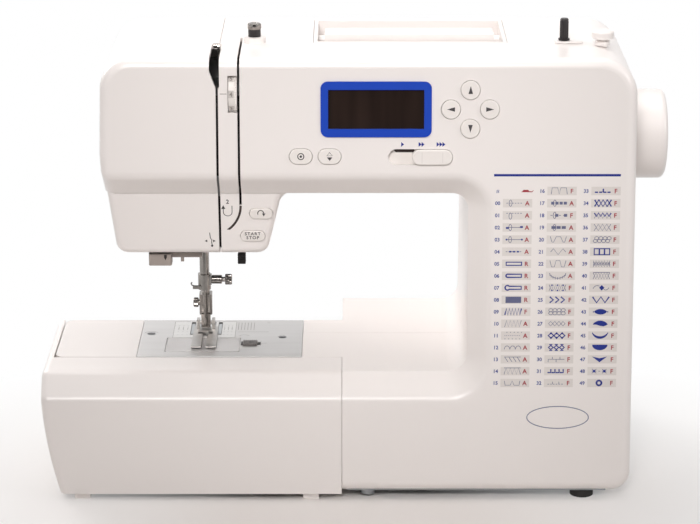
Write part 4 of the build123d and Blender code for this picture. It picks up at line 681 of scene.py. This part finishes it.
def plate_marks():
    """Seam guides and outlines on the needle plate, painted shade in its screw slots, and painted shade on
    the clear cover's ridges.
    """
    insert = box(needle_x - 1.0, 13.8, 20.5, 15.8)
    # The insert leaves the needle's slot and the four feed slots open
    openings = [box(needle_x + shift, feed_middle, feed_across, feed_along) for shift in feed_bars]
    openings.append(box(needle_x, needle_y, 4.6, 1.3))
    ticks = [[(x, 13.5), (x, 28.0)] for x in guide_x]
    ticks += [[(-77.4, 9.5), (-57.0, 9.5)], [(-58.6, 27.5), (-56.4, 27.5)], [(-61.5, -17.0), (-61.5, -8.0)],
              [(-61.5, -12.5), (-57.5, -12.5)]]
    ticks += [arc(-72.8, 0.6, 3.6, 3.0, 25, 155), arc(left_screw[0], left_screw[1], 4.6, 4.6, 20, 160)]
    printed("plate_insert", "machine", bed, insert_steel, patches=[insert, *openings], film=0.02)
    guide_lines = [(insert, 0.4)] + [(line, 0.3) for line in ticks]
    printed("seam_guides", "machine", bed, guide_ink, strokes=guide_lines)
    # Painted shade in the plate's screw slots
    slot_shade_patches = [box(x, y, 2.2, 0.7) for x, y in (left_screw, right_screw)]
    printed("plate_screw_slot_shade", "machine", bed, dark_ink_and_slot_shade, patches=slot_shade_patches, film=0.06)
    marks = []
    for x in mark_x:
        marks += [[(x - 0.5, y), (x + 0.5, y)] for y in (4.0, 10.0, 16.0, 22.0)]
        marks.append([(x, 13.0), (x, 20.0)])
    printed("insert_marks", "machine", bed, guide_ink, strokes=[(mark, 0.35) for mark in marks], film=0.04)
    # Painted shade lines on the clear cover's ridges and round its edge
    x, y, _ = middle("bobbin_cover")
    wide, deep, _ = extent("bobbin_cover")
    rings = [arc(x - wide / 2 + 7, y, size, size * 1.6, 40, 320) for size in (2.2, 3.6, 5.0)]
    rings.append(box(x, y, wide / 2 - 0.5, deep / 2 - 0.5))
    printed("cover_ridge_shade_lines", "machine", bed, cover_ridge_shade, strokes=[(line, 0.4) for line in rings], film=0.04)


stitch_chart()
panel_marks()
head_marks()
key_marks()
dial_marks()
plate_marks()


# Turned, knurled and ribbed pieces

# Acetal, mid grey, ribbed for the thumb
grip_grey = finish("mid grey acetal", ("#6F6A68", "#625D5B"), (0.4, 0.5), 8, 0.4, 0.01, IOR=1.48)
# Painted shade: the same plated sheet, darker where it turns away from the light, satin
shaded_edge_steel = finish(
    "plated sheet edge in painted shade", ("#8E8B8A", "#7F7C7B"), (0.4, 0.5), 9, 0.5, 0.004, (0.1, 1, 1), Metallic=1.0
)
# Polished steel, blackened and oiled: dark, mirror bright where the light catches
dark_chrome = finish("oiled bright steel", ("#8F8A86", "#7C7774"), (0.14, 0.22), 4, 0.8, 0.002, Metallic=1.0)
# Spun cotton: soft white with the lay of the turns
cotton = finish("wound cotton thread", ("#F1EEEA", "#DCD7D0"), (0.8, 0.95), 2, 0.35, 0.05, (1, 1, 6))

# Height at which the winder spindle's flange clears the top
spindle_flange = 283.8
# Grip pad of the cover's release: its reach left, right and to each side, and its ribs
pad_left = 3.2
pad_right = 6.4
pad_half = 4.6
pad_first_rib = -2.4
pad_rib_pitch = 1.3
pad_ribs = 7
# Each thread slot's middle, the half width of the dark channel behind it, and the channel's foot; the channel
# is a dark block, painted shade seen through the slot
slot_shade_channels = ((-85.0, 3.4, 154), (-71.7, 2.6, 184))
channel_depth = 9.0
channel_wall = 1.4
channel_step = 5
channel_lap = 0.4
# The channel breaks off where the lower head meets the panel, and ends under the top
lower_channel_top = 189
upper_channel = (207, 256)
# Case screws on the back, and how far their heads stand out
case_screws = ((-20, 235), (70, 235), (150, 235), (150, 40), (20, 40), (110, 130.5))
screw_rise = 1.6
recess_reach = 1.7
# The arrow on the threader's block: its point
arrow_x = -120.5
arrow_z = 146.3


def upright_at(x, y, z):
    """A place in millimetres, with the turning axis upright."""
    return Matrix.Diagonal((mm, mm, mm, 1)) @ Matrix.Translation((x, y, z))


def along_x_at(x, y, z):
    """The same with the turning axis along X."""
    return upright_at(x, y, z) @ Matrix.Rotation(math.radians(90), 4, "Y")


def turned(profile, place, segments=48, flutes=(), closed=False):
    """A profile of radius and height, in millimetres, spun about its axis.

    Each flute run is a low height, a high height, a least radius and a depth cut into every other segment.
    """
    shape = bmesh.new()
    knots = [shape.verts.new((radius, 0, height)) for radius, height in profile]
    pairs = list(zip(knots, knots[1:]))
    if closed:
        pairs.append((knots[-1], knots[0]))
    lines = [shape.edges.new(pair) for pair in pairs]
    bmesh.ops.spin(
        shape, geom=knots + lines, cent=(0, 0, 0), axis=(0, 0, 1), dvec=(0, 0, 0), angle=math.tau,
        steps=segments, use_merge=True, use_normal_flip=False, use_duplicate=False,
    )
    bmesh.ops.remove_doubles(shape, verts=shape.verts, dist=1e-4)
    bmesh.ops.recalc_face_normals(shape, faces=shape.faces)
    for low, high, least, depth in flutes:
        for vert in shape.verts:
            radius = math.hypot(vert.co.x, vert.co.y)
            turn = round(math.atan2(vert.co.y, vert.co.x) / math.tau * segments)
            if low <= vert.co.z <= high and radius >= least and turn % 2:
                vert.co.x *= (radius - depth) / radius
                vert.co.y *= (radius - depth) / radius
    bmesh.ops.transform(shape, matrix=place, verts=shape.verts)
    return shape


def add_bar(shape, low, high, bevel):
    """A bar between two corners, in millimetres, its edges rounded over."""
    made = bmesh.ops.create_cube(shape, size=1.0)["verts"]
    spans = [(b - a) * mm for a, b in zip(low, high)]
    centre = [(a + b) / 2 * mm for a, b in zip(low, high)]
    bmesh.ops.scale(shape, vec=spans, verts=made)
    bmesh.ops.translate(shape, vec=centre, verts=made)
    edges = list({edge for vert in made for edge in vert.link_edges})
    bmesh.ops.bevel(
        shape, geom=edges, offset=bevel * mm, segments=2, profile=0.5, affect="EDGES", material=-1
    )


def thumbscrews():
    """The needle clamp's long thumbscrew and the foot holder's short one, with knurled heads."""
    low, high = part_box("clamp_screw")
    _, y, z = middle("clamp_screw")
    long = (high.x - low.x) / mm
    barrel = [(0, 0), (2.6, 0), (2.9, 0.3), (2.9, 6.4), (2.5, 6.8), (1.6, 6.8), (1.6, 8.8)]
    head = [(3.2, 8.8), (3.5, 9.1), (3.5, long - 0.5), (3.0, long), (0, long)]
    shape = turned(barrel + head, along_x_at(low.x / mm, y, z), 56, [(9.0, long - 0.4, 3.4, 0.28)])
    piece("clamp_thumbscrew_turned", shape, "clamp_thumbscrew", dark_chrome, ["clamp_screw"])
    low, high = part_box("holder_screw")
    _, y, z = middle("holder_screw")
    wide = (high.x - low.x) / mm
    disc = [(0, 0), (2.6, 0), (3.2, 0.5), (3.2, wide - 1.0), (2.7, wide - 0.7), (2.0, wide - 0.6)]
    disc += [(2.0, wide), (0, wide)]
    shape = turned(disc, along_x_at(low.x / mm, y, z), 44, [(0.4, wide - 0.9, 3.1, 0.26)])
    piece("holder_thumbscrew_turned", shape, "holder_thumbscrew", dark_chrome, ["holder_screw"])


def winder():
    """The winder's fluted spindle with its spring slot, down to the friction disc under the cover."""
    low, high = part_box("winder_spindle")
    x, y, _ = middle("winder_spindle")
    foot, top = low.z / mm, high.z / mm
    disc = [(0, foot), (10.6, foot), (11, foot + 0.4), (11, foot + 4.2), (10.5, foot + 4.7)]
    disc.append((1.8, foot + 4.7))
    flange = spindle_flange
    shank = [(1.8, flange), (3.65, flange), (3.65, flange + 0.8), (2.75, flange + 1.0), (2.75, top - 1.6)]
    crown = [(2.45, top - 1.2), (2.75, top - 0.8), (2.2, top), (0, top)]
    shape = turned(disc + shank + crown, upright_at(x, y, 0), 32, [(flange + 0.9, top - 1.5, 2.7, 0.3)])
    piece("winder_spindle_turned", shape, "winder_pin", black_plastic, ["winder_spindle"])


def tension_wheel():
    """The tension dial, with a smooth strip for its numbers and a ribbed grip beside it."""
    x, y, z = middle("tension_dial")
    width, _, tall = extent("tension_dial")
    half, radius = width / 2, tall / 2
    bore = 2.03
    rim = [(bore, -half), (radius - 0.5, -half), (radius - 0.1, -half + 0.4), (radius - 0.1, 0.9)]
    grip = [(radius - 0.5, 1.0), (radius, 1.2), (radius, half - 0.3), (radius - 0.5, half), (bore, half)]
    shape = turned(rim + grip, along_x_at(x, y, z), 128, [(1.1, half - 0.2, radius - 0.05, 0.5)], closed=True)
    piece("tension_wheel_ribbed", shape, "dial", satin_abs, ["tension_dial"])


def thread_cap():
    """The cap of the top thread guide, with the fine ribs that hold the thread."""
    low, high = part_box("guide_cap")
    x, y, _ = middle("guide_cap")
    foot, top = low.z / mm, high.z / mm
    radius = (high.x - low.x) / 2 / mm
    cap = [(0, foot), (radius - 0.3, foot), (radius, foot + 0.3), (radius, top - 1.0)]
    crown = [(radius - 0.3, top - 0.3), (radius - 1.0, top), (1.6, top), (1.2, top - 0.4), (0, top - 0.4)]
    shape = turned(cap + crown, upright_at(x, y, 0), 40, [(foot + 0.2, top - 0.9, radius - 0.05, 0.22)])
    cap_finish = nodes["guide_cap"].data.materials[0]
    piece("guide_cap_ribbed", shape, "machine", cap_finish, ["guide_cap"])


def ribs():
    """Moulded ribs on the buttonhole lever's stub and on the cover's release."""
    x, y, _ = middle("buttonhole_lever")
    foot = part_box("buttonhole_lever")[0].z / mm
    shape = bmesh.new()
    for level in (0.9, 2.5, 4.1, 5.7):
        add_bar(shape, (x - 2.6, y - 2.8, foot + level - 0.4), (x + 2.6, y + 2.8, foot + level + 0.4), 0.2)
    piece("buttonhole_ribs", shape, "buttonhole", black_plastic)
    x, y, _ = middle("cover_release")
    shape = bmesh.new()
    corner = (x + pad_right, y + pad_half, bed_top + 0.7)
    add_bar(shape, (x - pad_left, y - pad_half, bed_top + 0.06), corner, 0.2)
    for i in range(pad_ribs):
        left = x + pad_first_rib + pad_rib_pitch * i - 0.3
        corner = (left + 0.6, y + pad_half - 0.2, bed_top + 1.2)
        add_bar(shape, (left, y - pad_half + 0.2, bed_top + 0.5), corner, 0.15)
    piece("release_pad", shape, "release", grip_grey)


def thread_path():
    """Dark blocks behind the two thread slots: painted shade seen through them."""
    shape = bmesh.new()
    for x, half, low in slot_shade_channels:
        lower = [(z, head_foot + head_slope * z) for z in range(low, lower_channel_top, channel_step)]
        levels = range(*upper_channel, channel_step)
        upper = [(z, panel_foot + panel_slope * (z + channel_step)) for z in levels]
        for foot, front in lower + upper:
            face = front + channel_depth
            corner = (x + half, face + channel_wall, foot + channel_step + channel_lap)
            add_bar(shape, (x - half, face, foot), corner, 0.3)
    piece("thread_slot_shade", shape, "machine", black_plastic)


def bobbin():
    """A clear bobbin wound with pale thread, in the holder under the cover."""
    low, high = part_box("bobbin_holder")
    x, y, _ = middle("bobbin_holder")
    foot, top = low.z / mm + 1.7, high.z / mm - 0.6
    radius = (high.x - low.x) / 2 / mm - 2.2
    edge = radius - 0.3
    lower = [(3.0, foot), (edge, foot), (radius, foot + 0.3), (radius, foot + 0.9), (edge, foot + 1.1)]
    core = [(4.2, foot + 1.1), (4.2, top - 1.1)]
    upper = [(edge, top - 1.1), (radius, top - 0.9), (radius, top - 0.3), (edge, top), (3.0, top)]
    shape = turned(lower + core + upper, upright_at(x, y, 0), 64, closed=True)
    piece("bobbin", shape, "machine", clear_plastic)
    wound = [(4.4, foot + 1.3), (radius - 2.0, foot + 1.3), (radius - 1.6, (foot + top) / 2)]
    wound += [(radius - 2.0, top - 1.3), (4.4, top - 1.3)]
    shape = turned(wound, upright_at(x, y, 0), 64, closed=True)
    piece("bobbin_thread", shape, "machine", cotton)


def inlet_pins():
    """The two round contacts in the mains inlet."""
    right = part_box("power_inlet")[1].x / mm
    _, y, z = middle("power_inlet")
    pin = [(0, 0), (1.2, 0), (1.2, 6.4), (0.8, 7.2), (0, 7.4)]
    for side in (-1, 1):
        shape = turned(pin, along_x_at(right - 9.3, y + 3.4 * side, z), 24)
        piece(f"inlet_pin_{'front' if side < 0 else 'rear'}", shape, "machine", chrome)


def side_marks():
    """The plain on and off signs on the mains switch, and the threader's arrow."""
    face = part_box("power_switch")[1].x / mm
    _, y, z = middle("power_switch")
    facing_right = Matrix(((0, 0, 1, face), (1, 0, 0, 0), (0, 1, 0, 0), (0, 0, 0, 1)))
    side = Matrix.Diagonal((mm, mm, mm, 1)) @ facing_right
    printed("switch_signs", "switch", side, white_ink, strokes=[
        ([(y, z + 2.4), (y, z + 5.4)], 0.7), (ring(y, z - 4.0, 1.4, 1.6), 0.6),
    ])
    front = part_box("needle_threader")[0].y / mm
    block = sloped_place(front, 0.0)
    arrow = [(0, 0), (0.9, 1.8), (0.9, 3.6), (-0.9, 3.6), (-0.9, 1.8)]
    arrow = moved(arrow, arrow_x, arrow_z)
    printed("threader_arrow", "threader", block, black_ink_and_recess_shade, patches=[arrow])


def clamp_wire():
    """The bent wire on the needle clamp that keeps the thread by the needle."""
    y = middle("needle_clamp")[1]
    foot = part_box("needle_clamp")[0].z / mm
    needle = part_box("needle")[0].x / mm
    hook = [(-2.0, 3.0), (-5.6, 3.0), (-7.2, 3.5), (-7.8, 4.6), (-7.2, 5.6)]
    face = sloped_place(y - 3.4, 0.0)
    wire = [(moved(hook, needle, foot), 0.9)]
    printed("clamp_wire", "needle_group", face, dark_chrome, strokes=wire, film=0.45)


def screw_recesses():
    """Black crosses on the case screws' heads on the back: painted shade for their cross recesses."""
    out = Vector((0, 1, -back_slope)).normalized()
    lean = Matrix(((-1, 0, out.x, 0), (0, back_slope, out.y, back_foot), (0, 1, out.z, 0), (0, 0, 0, 1)))
    back = Matrix.Diagonal((mm, mm, mm, 1)) @ lean @ Matrix.Translation((0, 0, screw_rise))
    crosses = []
    for x, z in case_screws:
        crosses.append([(-x - recess_reach, z), (-x + recess_reach, z)])
        crosses.append([(-x, z - recess_reach), (-x, z + recess_reach)])
    recess_shade_strokes = [(line, 0.9) for line in crosses]
    printed("screw_recesses", "machine", back, black_ink_and_recess_shade, strokes=recess_shade_strokes, film=0.04)


def plate_edge():
    """The needle plate's front edge, turned down over the bed's lip, darker with painted shade."""
    low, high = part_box("needle_plate")
    section = [(-0.1, 0.06), (-1.5, -0.5), (-1.9, -1.7), (-1.75, -1.75), (-1.4, -0.65), (-0.1, -0.06)]
    shape = bmesh.new()
    ring_points = [shape.verts.new((low.x, low.y + y * mm, high.z + z * mm)) for y, z in section]
    end = shape.faces.new(ring_points)
    made = bmesh.ops.extrude_face_region(shape, geom=[end])["geom"]
    far_end = [item for item in made if isinstance(item, bmesh.types.BMVert)]
    bmesh.ops.translate(shape, vec=(high.x - low.x, 0, 0), verts=far_end)
    bmesh.ops.recalc_face_normals(shape, faces=shape.faces)
    piece("plate_front_edge", shape, "machine", shaded_edge_steel)


thumbscrews()
winder()
tension_wheel()
thread_cap()
ribs()
thread_path()
bobbin()
inlet_pins()
side_marks()
plate_edge()
clamp_wire()
screw_recesses()


# Studio: pale floor, soft light, white background


# Softboxes: place, aim, side, power and spread in degrees; the key's grid keeps it off the floor
softboxes = (
    ("key", (-0.12, -0.75, 0.8), (0.0, -0.05, 0.29), 0.5, 0.56, 30),
    ("top", (0.0, 0.2, 1.3), (0.0, 0.0, 0.1), 0.9, 6.5, 180),
    ("back left", (-0.75, 0.8, 0.7), (0.05, 0.0, 0.1), 0.7, 7.5, 180),
    ("right", (1.0, -0.4, 0.7), (0.18, 0.0, 0.24), 0.5, 0.3, 50),
)
lamp_tint = (1.0, 0.97, 0.96)
world_glow = 0.2
# Cards: half size, lean in degrees and place; one stands behind the camera, one lies before the machine
dark_cards = (
    ("card behind", 1.2, 90, (0.0, -2.4, 1.1)),
    ("card before", 0.55, 0, (0.0, -0.95, 0.002)),
)
# The paper fades from its own shade before the machine to plain white, over these distances in metres
floor_half = 6.0
floor_near = 0.05
floor_far = 0.3
floor_shift = 0.11
floor_squash = 0.7
# The camera at the photograph's angle, in metres, degrees down and millimetres of lens
camera_place = (-0.003, -1.570, 0.642)
camera_pitch = 18
camera_lens = 129.8
camera_film = 36.0


def seen_ray(tree):
    """A socket that is one for rays that show the background: to the eye, off metal or through glass."""
    rays = add_node(tree, "ShaderNodeLightPath")
    seen = add_node(
        tree, "ShaderNodeMath",
        [(0, rays.outputs["Is Camera Ray"]), (1, rays.outputs["Is Glossy Ray"])], operation="MAXIMUM",
    )
    through = add_node(
        tree, "ShaderNodeMath", [(0, seen.outputs[0]), (1, rays.outputs["Is Transmission Ray"])],
        operation="MAXIMUM",
    )
    return through.outputs[0]


def white_world():
    """White where it is seen, and a low even glow for the object."""
    world = bpy.data.worlds.new("white studio")
    bpy.context.scene.world = world
    world.use_nodes = True
    tree = world.node_tree
    tree.nodes.clear()
    glow = add_node(tree, "ShaderNodeBackground", color=(*lamp_tint, 1.0), strength=world_glow)
    white = add_node(tree, "ShaderNodeBackground", color=(1.0, 1.0, 1.0, 1.0), strength=1.0)
    mix = add_node(
        tree, "ShaderNodeMixShader", [(0, seen_ray(tree)), (1, glow.outputs[0]), (2, white.outputs[0])]
    )
    add_node(tree, "ShaderNodeOutputWorld", [("Surface", mix.outputs[0])])


def paper():
    """White paper that takes the object's shadow, and fades to plain white where it is seen far off."""
    material = bpy.data.materials.new("white paper floor")
    material.use_nodes = True
    tree = material.node_tree
    tree.nodes.clear()
    place = add_node(tree, "ShaderNodeTexCoord")
    squash = add_node(
        tree, "ShaderNodeMapping", [("Vector", place.outputs["Object"])],
        location=(0.0, floor_shift, 0.0), scale=(floor_squash, 1.0, 1.0),
    )
    reach = add_node(tree, "ShaderNodeVectorMath", [(0, squash.outputs[0])], operation="LENGTH")
    far_off = add_node(
        tree, "ShaderNodeMapRange", [("Value", reach.outputs["Value"])],
        from_min=floor_near, from_max=floor_far, to_min=0.0, to_max=1.0,
    )
    sheet = add_node(tree, "ShaderNodeBsdfDiffuse", color=linear("#F0ECE9"))
    white = add_node(tree, "ShaderNodeEmission", color=(1.0, 1.0, 1.0, 1.0), strength=1.0)
    share = add_node(
        tree, "ShaderNodeMath", [(0, far_off.outputs[0]), (1, seen_ray(tree))], operation="MULTIPLY"
    )
    mix = add_node(
        tree, "ShaderNodeMixShader", [(0, share.outputs[0]), (1, sheet.outputs[0]), (2, white.outputs[0])]
    )
    add_node(tree, "ShaderNodeOutputMaterial", [("Surface", mix.outputs[0])])
    return material


def staged_sheet(name, material, half, lean=0, place=(0, 0, 0)):
    """A flat square sheet that belongs to the studio, leaning by degrees about X."""
    sheet = bmesh.new()
    bmesh.ops.create_grid(sheet, x_segments=1, y_segments=1, size=half)
    bmesh.ops.rotate(sheet, matrix=Matrix.Rotation(math.radians(lean), 3, "X"), verts=sheet.verts)
    bmesh.ops.translate(sheet, vec=place, verts=sheet.verts)
    mesh = bpy.data.meshes.new(name)
    sheet.to_mesh(mesh)
    sheet.free()
    mesh.materials.append(material)
    staged = bpy.data.objects.new(name, mesh)
    bpy.context.collection.objects.link(staged)
    return staged


def reflection_cards():
    """Dark cards, seen only in reflections, that give metal and glass their contrast."""
    # Dyed felt on card: brown-black, dull, with uneven folds
    card_cloth = finish("brown-black card", ("#171210", "#3A302B"), (0.9, 1.0), 350, 1.0, 0.1, (1, 1, 0.1))
    for name, half, lean, place in dark_cards:
        card = staged_sheet(name, card_cloth, half, lean, place)
        card.visible_camera = False
        card.visible_diffuse = False
        card.visible_shadow = False
        card.visible_transmission = False


def lights():
    """The softboxes, each turned to its aim."""
    for name, place, aim, size, power, spread in softboxes:
        lamp = bpy.data.lights.new(name, "AREA")
        lamp.size = size
        lamp.energy = power
        lamp.spread = math.radians(spread)
        lamp.color = lamp_tint
        softbox = bpy.data.objects.new(name, lamp)
        softbox.location = place
        direction = Vector(aim) - Vector(place)
        softbox.rotation_euler = direction.to_track_quat("-Z", "Y").to_euler()
        bpy.context.collection.objects.link(softbox)


def eye():
    """The camera."""
    camera = bpy.data.cameras.new("camera")
    camera.sensor_width = camera_film
    camera.sensor_fit = "HORIZONTAL"
    camera.lens = camera_lens
    held = bpy.data.objects.new("camera", camera)
    held.location = camera_place
    held.rotation_euler = (math.radians(90 - camera_pitch), 0, 0)
    bpy.context.collection.objects.link(held)
    bpy.context.scene.camera = held
    bpy.context.scene.view_settings.view_transform = "Standard"


white_world()
staged_sheet("floor", paper(), floor_half)
reflection_cards()
lights()
eye()
